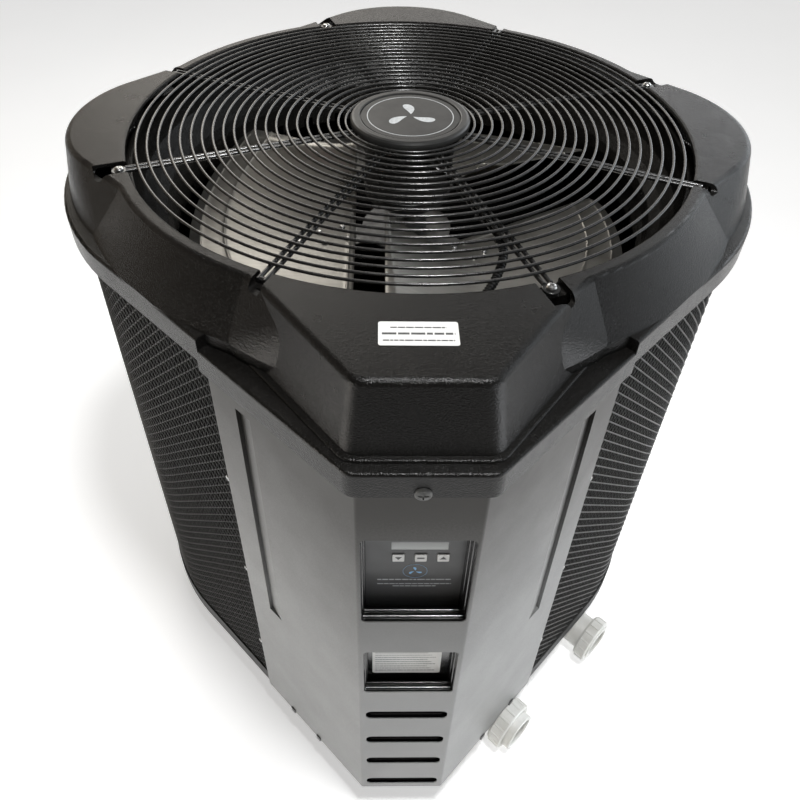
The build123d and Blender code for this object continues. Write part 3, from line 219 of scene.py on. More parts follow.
def world_sky():
    """Soft room: a bright band low down behind the unit, dim overhead, to the left and behind the viewer."""
    world = bpy.data.worlds.new("studio")
    bpy.context.scene.world = world
    world.use_nodes = True
    tree = world.node_tree
    direction = tree.nodes.new("ShaderNodeTexCoord").outputs["Generated"]
    split = tree.nodes.new("ShaderNodeSeparateXYZ")
    tree.links.new(direction, split.inputs["Vector"])
    side = remap(tree, split.outputs["X"], -0.7, 0.7, 0.0, 1.0)
    tinted = blend_color(tree, side, (1.0, 0.86, 0.70), (0.90, 0.95, 1.0))
    band = remap(tree, split.outputs["Z"], 0.36, 0.52, BAND_STRENGTH, TOP_STRENGTH)
    behind = remap(tree, split.outputs["Y"], -0.6, 0.5, VIEWER_SHARE, 1.0)
    sideways = remap(tree, split.outputs["X"], -0.6, 0.6, LEFT_SHARE, RIGHT_SHARE)
    strength = combine(tree, combine(tree, band, behind, "MULTIPLY"), sideways, "MULTIPLY")
    background = tree.nodes["Background"]
    tree.links.new(tinted, background.inputs["Color"])
    tree.links.new(strength, background.inputs["Strength"])


def make_light():
    """A window high behind the unit, a small light over its front and one low down at each side."""
    world_sky()
    area_light("window", (-0.84, 2.37, 2.65), (-0.2, 0.0, 0.93), 1.3, 16.0, (1.0, 0.97, 0.91))
    area_light("top", (0.3, -0.9, 3.5), (0.0, 0.0, 1.0), 0.40, 66.0)
    area_light("left", (-3.0, -1.6, 0.35), (0.0, -0.3, 0.25), 1.0, 33.0, (1.0, 0.95, 0.87))
    area_light("right", (3.0, -1.6, 0.35), (0.0, -0.3, 0.25), 1.0, 32.0, (0.93, 0.96, 1.0))
    bpy.context.scene.view_settings.view_transform = "Standard"


def make_floor():
    """White sheet under the unit, glowing slightly like a light table."""
    half = FLOOR_HALF
    mesh = bpy.data.meshes.new("floor")
    corners = [(-half, -half, 0), (half, -half, 0), (half, half, 0), (-half, half, 0)]
    mesh.from_pydata(corners, [], [(0, 1, 2, 3)])
    floor = bpy.data.objects.new("floor", mesh)
    bpy.context.scene.collection.objects.link(floor)
    material, tree, shader, coords = new_material("floor_paper", specular=0.2)
    tint(tree, shader, noise(tree, coords, 3.0), (0.90, 0.90, 0.90), (0.93, 0.93, 0.93))
    shader.inputs["Roughness"].default_value = 0.9
    shader.inputs["Emission Color"].default_value = (1.0, 1.0, 1.0, 1.0)
    shader.inputs["Emission Strength"].default_value = FLOOR_GLOW
    mesh.materials.append(material)


# ---- material tools ---------------------------------------------------------------
def new_material(name, metallic=0.0, specular=0.5, coat=0.0, coat_roughness=0.1):
    """Principled material whose patterns are tied to the object, in metres."""
    material = bpy.data.materials.new(name)
    material.use_nodes = True
    tree = material.node_tree
    shader = tree.nodes["Principled BSDF"]
    shader.inputs["Metallic"].default_value = metallic
    shader.inputs["Specular IOR Level"].default_value = specular
    shader.inputs["Coat Weight"].default_value = coat
    shader.inputs["Coat Roughness"].default_value = coat_roughness
    coords = tree.nodes.new("ShaderNodeTexCoord").outputs["Object"]
    return material, tree, shader, coords


def noise(tree, coords, scale, detail=4.0, roughness=0.55):
    node = tree.nodes.new("ShaderNodeTexNoise")
    node.inputs["Scale"].default_value = scale
    node.inputs["Detail"].default_value = detail
    node.inputs["Roughness"].default_value = roughness
    tree.links.new(coords, node.inputs["Vector"])
    return node.outputs["Fac"]


def cells(tree, coords, scale):
    node = tree.nodes.new("ShaderNodeTexVoronoi")
    node.inputs["Scale"].default_value = scale
    tree.links.new(coords, node.inputs["Vector"])
    return node.outputs["Distance"]


def stretched(tree, coords, scale_xyz, turn_z=0.0):
    node = tree.nodes.new("ShaderNodeMapping")
    node.inputs["Scale"].default_value = scale_xyz
    node.inputs["Rotation"].default_value = (0.0, 0.0, turn_z)
    tree.links.new(coords, node.inputs["Vector"])
    return node.outputs["Vector"]


def remap(tree, value, low, high, out_low, out_high):
    """Turns the range low to high into out_low to out_high, and clamps past its ends."""
    node = tree.nodes.new("ShaderNodeMapRange")
    node.inputs["From Min"].default_value = low
    node.inputs["From Max"].default_value = high
    node.inputs["To Min"].default_value = out_low
    node.inputs["To Max"].default_value = out_high
    tree.links.new(value, node.inputs["Value"])
    return node.outputs["Result"]


def height_of(tree, coords):
    node = tree.nodes.new("ShaderNodeSeparateXYZ")
    tree.links.new(coords, node.inputs["Vector"])
    return node.outputs["Z"]


def combine(tree, a, b, operation="ADD", factor=1.0):
    """Value a, and b times the factor, joined by a math operation."""
    scaled = tree.nodes.new("ShaderNodeMath")
    scaled.operation = "MULTIPLY"
    scaled.inputs[1].default_value = factor
    tree.links.new(b, scaled.inputs[0])
    node = tree.nodes.new("ShaderNodeMath")
    node.operation = operation
    tree.links.new(a, node.inputs[0])
    tree.links.new(scaled.outputs[0], node.inputs[1])
    return node.outputs[0]


def blend_color(tree, factor, low, high):
    """Mix of two colours, each a tuple or another node's output."""
    node = tree.nodes.new("ShaderNodeMix")
    node.data_type = "RGBA"
    color_sockets = [s for s in node.inputs if s.type == "RGBA"]
    for socket, color in zip(color_sockets, (low, high)):
        if isinstance(color, tuple):
            socket.default_value = (*color, 1.0)
        else:
            tree.links.new(color, socket)
    tree.links.new(factor, node.inputs["Factor"])
    return [s for s in node.outputs if s.type == "RGBA"][0]


def tint(tree, shader, factor, low, high):
    """Base colour between low and high, spread over the middle of the noise's range."""
    color = blend_color(tree, remap(tree, factor, 0.3, 0.7, 0.0, 1.0), low, high)
    tree.links.new(color, shader.inputs["Base Color"])


def vary_roughness(tree, shader, factor, low, high):
    tree.links.new(remap(tree, factor, 0.3, 0.7, low, high), shader.inputs["Roughness"])


def bump(tree, shader, height, strength, distance):
    node = tree.nodes.new("ShaderNodeBump")
    node.inputs["Strength"].default_value = strength
    node.inputs["Distance"].default_value = distance
    tree.links.new(height, node.inputs["Height"])
    tree.links.new(node.outputs["Normal"], shader.inputs["Normal"])


def mottled(name, low, high, roughness, scale, grain, grain_depth, metallic=0.0, specular=0.5, coat=0.0):
    """General finish: colour mottle, roughness variation and a fine surface grain."""
    material, tree, shader, coords = new_material(name, metallic, specular, coat)
    broad = noise(tree, coords, scale)
    tint(tree, shader, broad, low, high)
    vary_roughness(tree, shader, noise(tree, coords, scale * 2.3), roughness - 0.05, roughness + 0.06)
    bump(tree, shader, noise(tree, coords, grain, 3.0), 0.35, grain_depth)
    return material


# ---- materials: one function for each slot of the record, for the fins' edges and each ink -----
def shroud_plastic():
    """Black moulding with a fine hair-cell grain and faint dusty patches."""
    material, tree, shader, coords = new_material("shroud_plastic", specular=0.24)
    speckle = noise(tree, coords, 420.0, 2.0, 0.6)
    spots = remap(tree, speckle, 0.42, 0.66, 0.0, 1.0)
    color = blend_color(tree, spots, (0.0035, 0.0033, 0.0030), (0.0085, 0.0081, 0.0075))
    cloud = remap(tree, noise(tree, coords, 7.0, 5.0), 0.35, 0.65, 0.0, 0.20)
    dusty = blend_color(tree, cloud, color, (0.012, 0.0110, 0.0095))
    tree.links.new(dusty, shader.inputs["Base Color"])
    vary_roughness(tree, shader, noise(tree, coords, 34.0), 0.20, 0.28)
    grain = combine(tree, noise(tree, coords, 640.0, 2.0, 0.7), cells(tree, coords, 520.0), "ADD", 0.6)
    bump(tree, shader, grain, 0.75, 0.0006)
    return material


def base_plastic():
    return mottled("base_plastic", (0.010, 0.010, 0.010), (0.020, 0.020, 0.019),
                   roughness=0.55, scale=20.0, grain=420.0, grain_depth=0.0004)


def bezel_plastic():
    return mottled("bezel_plastic", (0.004, 0.004, 0.004), (0.009, 0.009, 0.009),
                   roughness=0.20, scale=30.0, grain=420.0, grain_depth=0.0003, specular=1.0)


def panel_paint():
    """Satin metallic grey paint with fine flake and orange peel; painted shade and a painted dark reflection
    of the lip make it darker towards the top.
    """
    material, tree, shader, coords = new_material("panel_paint", metallic=0.5, specular=0.4,
                                                  coat=0.10, coat_roughness=0.30)
    flake = noise(tree, coords, 900.0, 2.0, 0.6)
    flecks = remap(tree, flake, 0.38, 0.64, 0.0, 1.0)
    color = blend_color(tree, flecks, (0.195, 0.197, 0.195), (0.265, 0.267, 0.264))
    # painted shade: towards the top the colour turns dark brownish, standing for the lip's shadow and its
    # reflection, with a ragged noisy edge
    ragged = combine(tree, height_of(tree, coords), noise(tree, coords, 300.0, 3.0, 0.8), "ADD", 0.11)
    painted_shade_mask = remap(tree, ragged, 0.56, 0.98, 0.0, 0.95)
    painted_shade_color = blend_color(tree, painted_shade_mask, color, (0.018, 0.016, 0.013))
    tree.links.new(painted_shade_color, shader.inputs["Base Color"])
    vary_roughness(tree, shader, noise(tree, coords, 14.0), 0.36, 0.44)
    bump(tree, shader, noise(tree, coords, 260.0, 2.0), 0.12, 0.0003)
    return material


def frame_steel():
    return mottled("frame_steel", (0.42, 0.43, 0.44), (0.60, 0.61, 0.62),
                   roughness=0.38, scale=45.0, grain=240.0, grain_depth=0.0001, metallic=0.9)


def fin_black():
    """Dense dark fins behind the visible edges: fine vertical ribs."""
    material, tree, shader, coords = new_material("fin_black", metallic=0.2, specular=0.3)
    tint(tree, shader, noise(tree, coords, 130.0), (0.004, 0.004, 0.004), (0.012, 0.012, 0.0115))
    vary_roughness(tree, shader, noise(tree, coords, 50.0), 0.5, 0.65)
    bump(tree, shader, noise(tree, stretched(tree, coords, (520.0, 520.0, 6.0)), 1.0, 1.0), 0.6, 0.0008)
    return material


def fin_edge():
    """Outer edges of the coated fins, slightly uneven."""
    material, tree, shader, coords = new_material("fin_edge", metallic=0.2, specular=0.4)
    tint(tree, shader, noise(tree, coords, 180.0, 5.0), (0.003, 0.003, 0.003), (0.010, 0.010, 0.0095))
    vary_roughness(tree, shader, noise(tree, coords, 90.0), 0.38, 0.55)
    bump(tree, shader, noise(tree, coords, 700.0), 0.3, 0.0002)
    return material


def coil_tube():
    material, tree, shader, coords = new_material("coil_tube", metallic=0.55)
    tint(tree, shader, noise(tree, coords, 75.0, 5.0), (0.30, 0.30, 0.29), (0.47, 0.465, 0.455))
    vary_roughness(tree, shader, noise(tree, coords, 60.0), 0.36, 0.5)
    bump(tree, shader, noise(tree, coords, 400.0), 0.2, 0.0002)
    return material


def guard_net():
    """Extruded plastic netting: dark and smooth, dusty in patches."""
    material, tree, shader, coords = new_material("guard_net", specular=0.32)
    tint(tree, shader, noise(tree, coords, 45.0, 5.0), (0.026, 0.0255, 0.0245), (0.052, 0.051, 0.049))
    vary_roughness(tree, shader, noise(tree, coords, 80.0), 0.34, 0.48)
    bump(tree, shader, noise(tree, coords, 500.0, 3.0), 0.25, 0.0002)
    return material


def copper():
    return mottled("copper", (0.50, 0.22, 0.12), (0.72, 0.38, 0.22),
                   roughness=0.32, scale=40.0, grain=220.0, grain_depth=0.0001, metallic=1.0)


def compressor_paint():
    return mottled("compressor_paint", (0.008, 0.008, 0.008), (0.016, 0.016, 0.016),
                   roughness=0.25, scale=25.0, grain=120.0, grain_depth=0.0002, coat=0.3)


def rubber():
    return mottled("rubber", (0.012, 0.012, 0.012), (0.024, 0.023, 0.022),
                   roughness=0.72, scale=60.0, grain=380.0, grain_depth=0.0003, specular=0.3)


def pvc_white():
    """White plumbing plastic, a little yellowed and scuffed."""
    material, tree, shader, coords = new_material("pvc_white", specular=0.45)
    tint(tree, shader, noise(tree, coords, 26.0, 6.0), (0.66, 0.655, 0.61), (0.80, 0.80, 0.775))
    vary_roughness(tree, shader, noise(tree, coords, 70.0), 0.30, 0.46)
    bump(tree, shader, noise(tree, coords, 320.0, 4.0), 0.2, 0.0003)
    return material


def exchanger_plastic():
    return mottled("exchanger_plastic", (0.012, 0.012, 0.014), (0.024, 0.024, 0.027),
                   roughness=0.34, scale=22.0, grain=180.0, grain_depth=0.0002)


def screw_steel():
    return mottled("screw_steel", (0.50, 0.50, 0.50), (0.74, 0.74, 0.73),
                   roughness=0.22, scale=140.0, grain=900.0, grain_depth=0.0001, metallic=1.0)


def dark_screw():
    return mottled("dark_screw", (0.055, 0.055, 0.055), (0.12, 0.12, 0.115),
                   roughness=0.34, scale=140.0, grain=700.0, grain_depth=0.0001, metallic=0.7)


def guard_wire():
    """Glossy black coated wire with slight waviness in the coating."""
    material, tree, shader, coords = new_material("guard_wire", specular=0.62, coat=0.35, coat_roughness=0.12)
    tint(tree, shader, noise(tree, coords, 90.0), (0.006, 0.006, 0.006), (0.014, 0.014, 0.0135))
    vary_roughness(tree, shader, noise(tree, coords, 55.0), 0.20, 0.32)
    bump(tree, shader, noise(tree, coords, 260.0, 3.0), 0.25, 0.0003)
    return material


def cap_plastic():
    return mottled("cap_plastic", (0.018, 0.018, 0.0175), (0.030, 0.030, 0.029),
                   roughness=0.36, scale=24.0, grain=520.0, grain_depth=0.0002)


def badge():
    return mottled("badge", (0.017, 0.017, 0.0165), (0.027, 0.027, 0.026),
                   roughness=0.40, scale=18.0, grain=600.0, grain_depth=0.0001)


def motor_paint():
    return mottled("motor_paint", (0.008, 0.008, 0.008), (0.018, 0.018, 0.018),
                   roughness=0.3, scale=30.0, grain=200.0, grain_depth=0.0002)


def shaft_steel():
    return mottled("shaft_steel", (0.20, 0.20, 0.20), (0.40, 0.40, 0.40),
                   roughness=0.36, scale=50.0, grain=380.0, grain_depth=0.0001, metallic=1.0)


def blade_aluminium():
    """Mill-finish sheet: satin, with faint rolling lines and a few smudges."""
    material, tree, shader, coords = new_material("blade_aluminium", metallic=0.92)
    streaks = noise(tree, stretched(tree, coords, (9.0, 220.0, 9.0), math.radians(20.0)), 1.0, 4.0)
    smudge = noise(tree, coords, 9.0, 5.0, 0.6)
    lines = remap(tree, streaks, 0.35, 0.65, 0.0, 1.0)
    color = blend_color(tree, lines, (0.42, 0.405, 0.375), (0.47, 0.455, 0.42))
    worn = blend_color(tree, remap(tree, smudge, 0.48, 0.72, 0.0, 0.35), color, (0.31, 0.295, 0.27))
    tree.links.new(worn, shader.inputs["Base Color"])
    vary_roughness(tree, shader, smudge, 0.27, 0.34)
    bump(tree, shader, streaks, 0.05, 0.0001)
    return material


def cable_conduit():
    return mottled("cable_conduit", (0.006, 0.006, 0.006), (0.013, 0.013, 0.013),
                   roughness=0.22, scale=60.0, grain=300.0, grain_depth=0.0002, specular=0.6)


def overlay():
    """Printed front film: dark grey, with painted light making it a little lighter towards its lower edge,
    where the sill shades it.
    """
    material, tree, shader, coords = new_material("overlay")
    # painted light: the film lightens towards its lower edge to offset the sill's shadow
    fade = remap(tree, height_of(tree, coords), 0.66, 0.80, 0.0, 1.0)
    grain = noise(tree, coords, 1200.0, 2.0)
    print_color = blend_color(tree, grain, (0.052, 0.053, 0.054), (0.064, 0.065, 0.066))
    color = blend_color(tree, fade, (0.105, 0.105, 0.105), print_color)
    tree.links.new(color, shader.inputs["Base Color"])
    vary_roughness(tree, shader, noise(tree, coords, 60.0), 0.28, 0.38)
    bump(tree, shader, noise(tree, coords, 900.0), 0.08, 0.0001)
    return material


def lcd():
    """Display window: pale grey, darker towards its upper edge."""
    material, tree, shader, coords = new_material("lcd", coat=0.6, coat_roughness=0.05)
    low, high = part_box("display_lcd")
    fade = remap(tree, height_of(tree, coords), low.z, high.z, 0.0, 1.0)
    color = blend_color(tree, fade, (0.40, 0.42, 0.41), (0.22, 0.23, 0.225))
    tree.links.new(color, shader.inputs["Base Color"])
    vary_roughness(tree, shader, noise(tree, coords, 80.0), 0.12, 0.2)
    return material


def key_white():
    return mottled("key_white", (0.70, 0.70, 0.68), (0.80, 0.80, 0.78),
                   roughness=0.35, scale=90.0, grain=900.0, grain_depth=0.0001)


def label_white():
    return mottled("label_white", (0.76, 0.76, 0.74), (0.86, 0.86, 0.84),
                   roughness=0.42, scale=40.0, grain=800.0, grain_depth=0.0001)


def label_ink():
    return mottled("label_ink", (0.05, 0.05, 0.05), (0.12, 0.12, 0.12),
                   roughness=0.5, scale=300.0, grain=900.0, grain_depth=0.0001)


def pale_ink():
    return mottled("pale_ink", (0.42, 0.44, 0.45), (0.60, 0.62, 0.63),
                   roughness=0.4, scale=200.0, grain=900.0, grain_depth=0.0001)


def pale_blue_ink():
    return mottled("pale_blue_ink", (0.25, 0.52, 0.82), (0.30, 0.58, 0.90),
                   roughness=0.42, scale=300.0, grain=900.0, grain_depth=0.00003)


def board_green():
    return mottled("board_green", (0.02, 0.13, 0.05), (0.04, 0.22, 0.09),
                   roughness=0.35, scale=120.0, grain=500.0, grain_depth=0.0002)


def device_grey():
    return mottled("device_grey", (0.24, 0.24, 0.235), (0.36, 0.36, 0.35),
                   roughness=0.42, scale=50.0, grain=420.0, grain_depth=0.0002)


def all_materials():
    makers = (shroud_plastic, base_plastic, bezel_plastic, panel_paint, frame_steel, fin_black, coil_tube,
              guard_net, copper, compressor_paint, rubber, pvc_white, exchanger_plastic, screw_steel,
              dark_screw, guard_wire, cap_plastic, badge, motor_paint, shaft_steel, blade_aluminium,
              cable_conduit, overlay, lcd, key_white, label_white, board_green, device_grey)
    return {make.__name__: make() for make in makers}


def finish_nodes(materials):
    for part in RECORD["subparts"]:
        mesh = NODES[part["node"]].data
        mesh.materials.clear()
        mesh.materials.append(materials[part["material_slot"]])


# ---- mesh tools --------------------------------------------------------------------
class Builder:
    """Collects points and faces of one piece."""

    def __init__(self):
        self.points = []
        self.faces = []
        self.slots = []

    def ring_box(self, corners_low, corners_high, slot=0, front_slot=None):
        """Closed solid between two matching outlines; its last side face may take another material."""
        start = len(self.points)
        count = len(corners_low)
        self.points += list(corners_low) + list(corners_high)
        self.faces.append(tuple(start + k for k in reversed(range(count))))
        self.faces.append(tuple(start + count + k for k in range(count)))
        self.slots += [slot, slot]
        for k in range(count):
            after = (k + 1) % count
            self.faces.append((start + k, start + after, start + count + after, start + count + k))
            self.slots.append(front_slot if front_slot is not None and k == count - 1 else slot)

    def tube(self, rings, closed=False):
        """Skin over matching rings of points, with flat ends unless it closes on itself."""
        start = len(self.points)
        sides = len(rings[0])
        for ring in rings:
            self.points += ring
        spans = len(rings) if closed else len(rings) - 1
        for i in range(spans):
            a = start + i * sides
            b = start + ((i + 1) % len(rings)) * sides
            for k in range(sides):
                after = (k + 1) % sides
                self.faces.append((a + k, a + after, b + after, b + k))
                self.slots.append(0)
        if not closed:
            last = start + (len(rings) - 1) * sides
            self.faces.append(tuple(start + k for k in reversed(range(sides))))
            self.faces.append(tuple(last + k for k in range(sides)))
            self.slots += [0, 0]

    def piece(self, name, body, slot, *materials, smooth=False):
        mesh = bpy.data.meshes.new(name)
        mesh.from_pydata([tuple(p) for p in self.points], [], self.faces)
        for material in materials:
            mesh.materials.append(material)
        for polygon, index in zip(mesh.polygons, self.slots):
            polygon.material_index = index
            polygon.use_smooth = smooth
        mesh.update()
        obj = bpy.data.objects.new(name, mesh)
        bpy.context.scene.collection.objects.link(obj)
        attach(obj, body)
        return obj


# ---- coil ------------------------------------------------------------------------------
def side_frame(k):
    """Outward and along directions of side k; side 0 is the right front one."""
    angle = math.radians(-45.0 + 90.0 * k)
    outward = Vector((math.cos(angle), math.sin(angle), 0.0))
    along = Vector((-math.sin(angle), math.cos(angle), 0.0))
    return outward, along


def coil_path(distance):
    """Point on the coil's outer face, and the way out there, at a distance from its right front end."""
    flat = COIL_HALF - COIL_CORNER_R
    quarter = COIL_CORNER_R * math.pi / 2
    for k in range(4):
        outward, along = side_frame(k)
        start = COIL_START_S if k == 0 else -flat
        end = -COIL_START_S if k == 3 else flat
        if distance <= end - start or k == 3:
            return outward * COIL_HALF + along * (start + distance), outward
        distance -= end - start
        if distance <= quarter:
            turn = distance / COIL_CORNER_R
            direction = outward * math.cos(turn) + along * math.sin(turn)
            return (outward + along) * flat + direction * COIL_CORNER_R, direction
        distance -= quarter


def coil_length():
    flat = COIL_HALF - COIL_CORNER_R
    return 2 * (flat - COIL_START_S) + 4 * flat + 3 * COIL_CORNER_R * math.pi / 2


def coil_fins(dark, edge):
    """Vertical fin plates round the whole coil, with a finish of their own on their outer edges."""
    low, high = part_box("evaporator_fins")
    count = int(coil_length() / FIN_PITCH)
    rng = random.Random(FIN_SEED)
    fins = Builder()
    for k in range(count + 1):
        point, outward = coil_path(k * coil_length() / count)
        along = Vector((-outward.y, outward.x, 0.0))
        lean = along * rng.uniform(-FIN_LEAN, FIN_LEAN)
        back = point - outward * (COIL_DEPTH - FIN_BACK_GAP)
        half = along * FIN_THICK / 2
        outer = point - outward * rng.uniform(0.0, FIN_UNEVEN)
        outline = [outer + half, back + half, back - half, outer - half]
        foot = [p + Vector((0, 0, low.z)) for p in outline]
        head = [p + lean + Vector((0, 0, high.z)) for p in outline]
        fins.ring_box(foot, head, 0, 1)
    return fins.piece("coil_fins", CABINET, "fin_black", dark, edge)


def coil_core(dark):
    """Dense inner part of the fin pack, which closes the view between the outer edges."""
    low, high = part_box("evaporator_fins")
    rings = []
    for k in range(CORE_STEPS + 1):
        point, outward = coil_path(k * coil_length() / CORE_STEPS)
        outer = point - outward * CORE_SETBACK
        inner = point - outward * (COIL_DEPTH - CORE_BACK_GAP)
        rings.append([Vector((inner.x, inner.y, low.z)), Vector((outer.x, outer.y, low.z)),
                      Vector((outer.x, outer.y, high.z)), Vector((inner.x, inner.y, high.z))])
    core = Builder()
    core.tube(rings)
    core.piece("coil_core", CABINET, "fin_black", dark)


def net_strand(net, start, sign, low_z, high_z, lift):
    """One strand that climbs at 45 degrees; start is where its line meets the netting's lower edge."""
    length = coil_length()
    step = NET_PITCH * ROOT2
    first = max(start, 0.0) if sign > 0 else min(start, length)
    last = min(start + high_z - low_z, length) if sign > 0 else max(start - (high_z - low_z), 0.0)
    if abs(last - first) < step / 3:
        return
    spans = max(1, round(abs(last - first) / step))
    rings = []
    for k in range(spans + 1):
        along_path = first + (last - first) * k / spans
        point, outward = coil_path(along_path)
        centre = point + outward * lift + Vector((0.0, 0.0, low_z + abs(along_path - start)))
        along = Vector((-outward.y, outward.x, 0.0))
        across = (along * sign - Vector((0.0, 0.0, 1.0))) / ROOT2
        half = across * (NET_STRAND_W / 2)
        top = outward * NET_STRAND_T
        rings.append([centre + half * aside + top * out for aside, out in STRAND_PROFILE])
    net.tube(rings if sign > 0 else [list(reversed(ring)) for ring in rings])


def coil_net(material):
    """Diamond netting over the coil: two families of strands that cross, one on the other."""
    low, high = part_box("coil_guard")
    height = high.z - low.z
    pitch = NET_PITCH * ROOT2
    count = int((coil_length() + height) / pitch)
    for name, sign, lift in zip(("coil_net_inner", "coil_net_outer"), (1, -1), NET_LIFTS):
        net = Builder()
        for k in range(count + 1):
            start = k * pitch - height if sign > 0 else k * pitch
            net_strand(net, start, sign, low.z, high.z, lift)
        net.piece(name, CABINET, "guard_net", material, smooth=True)
    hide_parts("coil_guard")


# ---- fan blades ---------------------------------------------------------------------------
def trail_angle(radius):
    """Direction, in degrees, in which a circle of this radius meets the trailing edge's line."""
    (x0, y0), (x1, y1) = BLADE_TRAIL
    length = math.hypot(x1 - x0, y1 - y0)
    dx, dy = (x1 - x0) / length, (y1 - y0) / length
    middle = x0 * dx + y0 * dy
    reach = -middle + math.sqrt(middle * middle - (x0 * x0 + y0 * y0 - radius * radius))
    return math.degrees(math.atan2(y0 + dy * reach, x0 + dx * reach))


def blade_edges(radius):
    """Leading and trailing directions at a radius, drawn in where the tip's corners are round."""
    lead = 180.0 + math.degrees(math.acos(BLADE_EDGE_X / radius))
    root = math.hypot(*BLADE_TRAIL[0])
    trail = trail_angle(radius) if radius > root else 360.0 - lead
    over = min(max(0.0, radius - (BLADE_TIP_R - BLADE_TIP_ROUND)), BLADE_TIP_ROUND)
    trim = math.degrees((BLADE_TIP_ROUND - math.sqrt(BLADE_TIP_ROUND ** 2 - over ** 2)) / radius)
    return lead - trim, trail + trim


def bead(distance):
    """Height of a pressed bead at a distance from its middle."""
    return BEAD_H * math.exp(-(distance / BEAD_W) ** 2)


def blade_top(angle_deg, radius):
    """Height of the blade's upper side: cambered, with two folds round the tip and a beaded leading edge."""
    rise = max(0.0, (BLADE_LEAD_DEG - angle_deg) / BLADE_SPAN_DEG)
    z = BLADE_LEAD_Z + BLADE_SHEET + BLADE_RISE * rise ** CAMBER_POWER
    for fold_r, slope in TIP_FOLDS:
        z -= slope * max(0.0, radius - fold_r)
        z += bead(radius - fold_r)
    from_edge = -radius * math.cos(math.radians(angle_deg)) - BLADE_EDGE_X
    return z + bead(from_edge - LEAD_FOLD) - LEAD_LIP_SLOPE * max(0.0, LEAD_LIP - from_edge)


def blade_radii():
    """Radii of the rows of the blade's mesh."""
    radii = [*ROOT_ROWS, *TIP_ROWS]
    radii += [MIDDLE_ROW + MIDDLE_STEP * k for k in range(MIDDLE_ROWS)]
    for fold_r, _ in TIP_FOLDS:
        radii += [fold_r + FOLD_STEP * k for k in range(-3, 4)]
    return sorted(radii)


def blade_angles(radius):
    """Directions across the blade at a radius: close together beside the leading edge, even elsewhere."""
    lead, trail = blade_edges(radius)
    angles = [lead]
    for inward in LEAD_COLUMNS:
        ratio = min((BLADE_EDGE_X + inward) / radius, 1.0)
        angles.append(max(min(180.0 + math.degrees(math.acos(ratio)), lead), trail))
    last = angles[-1]
    return angles + [last + (trail - last) * k / EVEN_COLUMNS for k in range(1, EVEN_COLUMNS + 1)]


def fan_blades(material):
    """Three pressed sheet blades with creased tips."""
    rows = []
    for radius in blade_radii():
        rows.append([(radius, angle) for angle in blade_angles(radius)])
    mesh_data = bmesh.new()
    for k in range(BLADES):
        turn = 360.0 * k / BLADES
        grid = []
        for row in rows:
            points = []
            for radius, angle in row:
                a = math.radians(angle + turn)
                place = (radius * math.cos(a), radius * math.sin(a), blade_top(angle, radius))
                points.append(mesh_data.verts.new(place))
            grid.append(points)
        for inner, outer in zip(grid, grid[1:]):
            for j in range(len(inner) - 1):
                mesh_data.faces.new((inner[j], inner[j + 1], outer[j + 1], outer[j]))
    bmesh.ops.remove_doubles(mesh_data, verts=mesh_data.verts, dist=WELD)
    bmesh.ops.dissolve_degenerate(mesh_data, edges=mesh_data.edges, dist=WELD)
    bmesh.ops.recalc_face_normals(mesh_data, faces=mesh_data.faces)
    up = sum((face.normal.z * face.calc_area() for face in mesh_data.faces), 0.0)
    if up < 0.0:
        bmesh.ops.reverse_faces(mesh_data, faces=mesh_data.faces)
    mesh = bpy.data.meshes.new("blade_sheets")
    mesh_data.to_mesh(mesh)
    mesh_data.free()
    mesh.materials.append(material)
    for polygon in mesh.polygons:
        polygon.use_smooth = True
    sheets = bpy.data.objects.new("blade_sheets", mesh)
    bpy.context.scene.collection.objects.link(sheets)
    solid = sheets.modifiers.new("sheet", "SOLIDIFY")
    solid.thickness = BLADE_SHEET
    solid.offset = -1.0
    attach(sheets, FAN)
    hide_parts("fan_blades")


# ---- motor cable --------------------------------------------------------------------------
def spoke_direction(angle):
    return Vector((math.cos(angle), math.sin(angle), 0.0))


def spoke_place(radius, height):
    """Point on the spoke that carries the cable."""
    return spoke_direction(CABLE_ANGLE) * radius + Vector((0.0, 0.0, height))


def cable_points():
    """The cable's route, as in the frame: under a spoke, through the duct wall, down to its box."""
    from_cap = [spoke_place(radius, CABLE_CAP_Z) for radius in (0.0742, 0.108)]
    under_spoke = [spoke_place(radius, CABLE_SPOKE_Z) for radius in (0.150, 0.240, 0.330)]
    down = [(0.095, -0.362, 1.062), (0.062, -0.393, 1.044), (0.054, -0.452, 1.022), (0.052, -0.478, 0.980),
            (0.052, -0.478, 0.927)]
    return from_cap + under_spoke + [Vector(point) for point in down]


def smooth_line(points, step):
    """Points at an even step along a NURBS curve through the route's control points."""
    curve = bpy.data.curves.new("route", "CURVE")
    curve.dimensions = "3D"
    curve.resolution_u = 24
    spline = curve.splines.new("NURBS")
    spline.points.add(len(points) - 1)
    for target, point in zip(spline.points, points):
        target.co = (*point, 1.0)
    spline.order_u = 3
    spline.use_endpoint_u = True
    carrier = bpy.data.objects.new("route", curve)
    mesh = bpy.data.meshes.new_from_object(carrier)
    line = [v.co.copy() for v in mesh.vertices]
    bpy.data.objects.remove(carrier)
    bpy.data.curves.remove(curve)
    bpy.data.meshes.remove(mesh)
    evened = [line[0]]
    carried = 0.0
    for a, b in zip(line, line[1:]):
        span = (b - a).length
        while carried + span >= step:
            a = a + (b - a).normalized() * (step - carried)
            evened.append(a.copy())
            span = (b - a).length
            carried = 0.0
        carried += span
    return evened


def sweep_rings(line, radius_at, sides):
    """Rings of points square to a line, whose radius depends on the place along it."""
    rings = []
    side = Vector((0.0, 0.0, 1.0))
    for k, point in enumerate(line):
        forward = (line[min(k + 1, len(line) - 1)] - line[max(k - 1, 0)]).normalized()
        side = (side - forward * side.dot(forward)).normalized()
        across = forward.cross(side)
        radius = radius_at(k)
        rings.append([point + (side * math.cos(t) + across * math.sin(t)) * radius
                      for t in [2 * math.pi * j / sides for j in range(sides)]])
    return rings


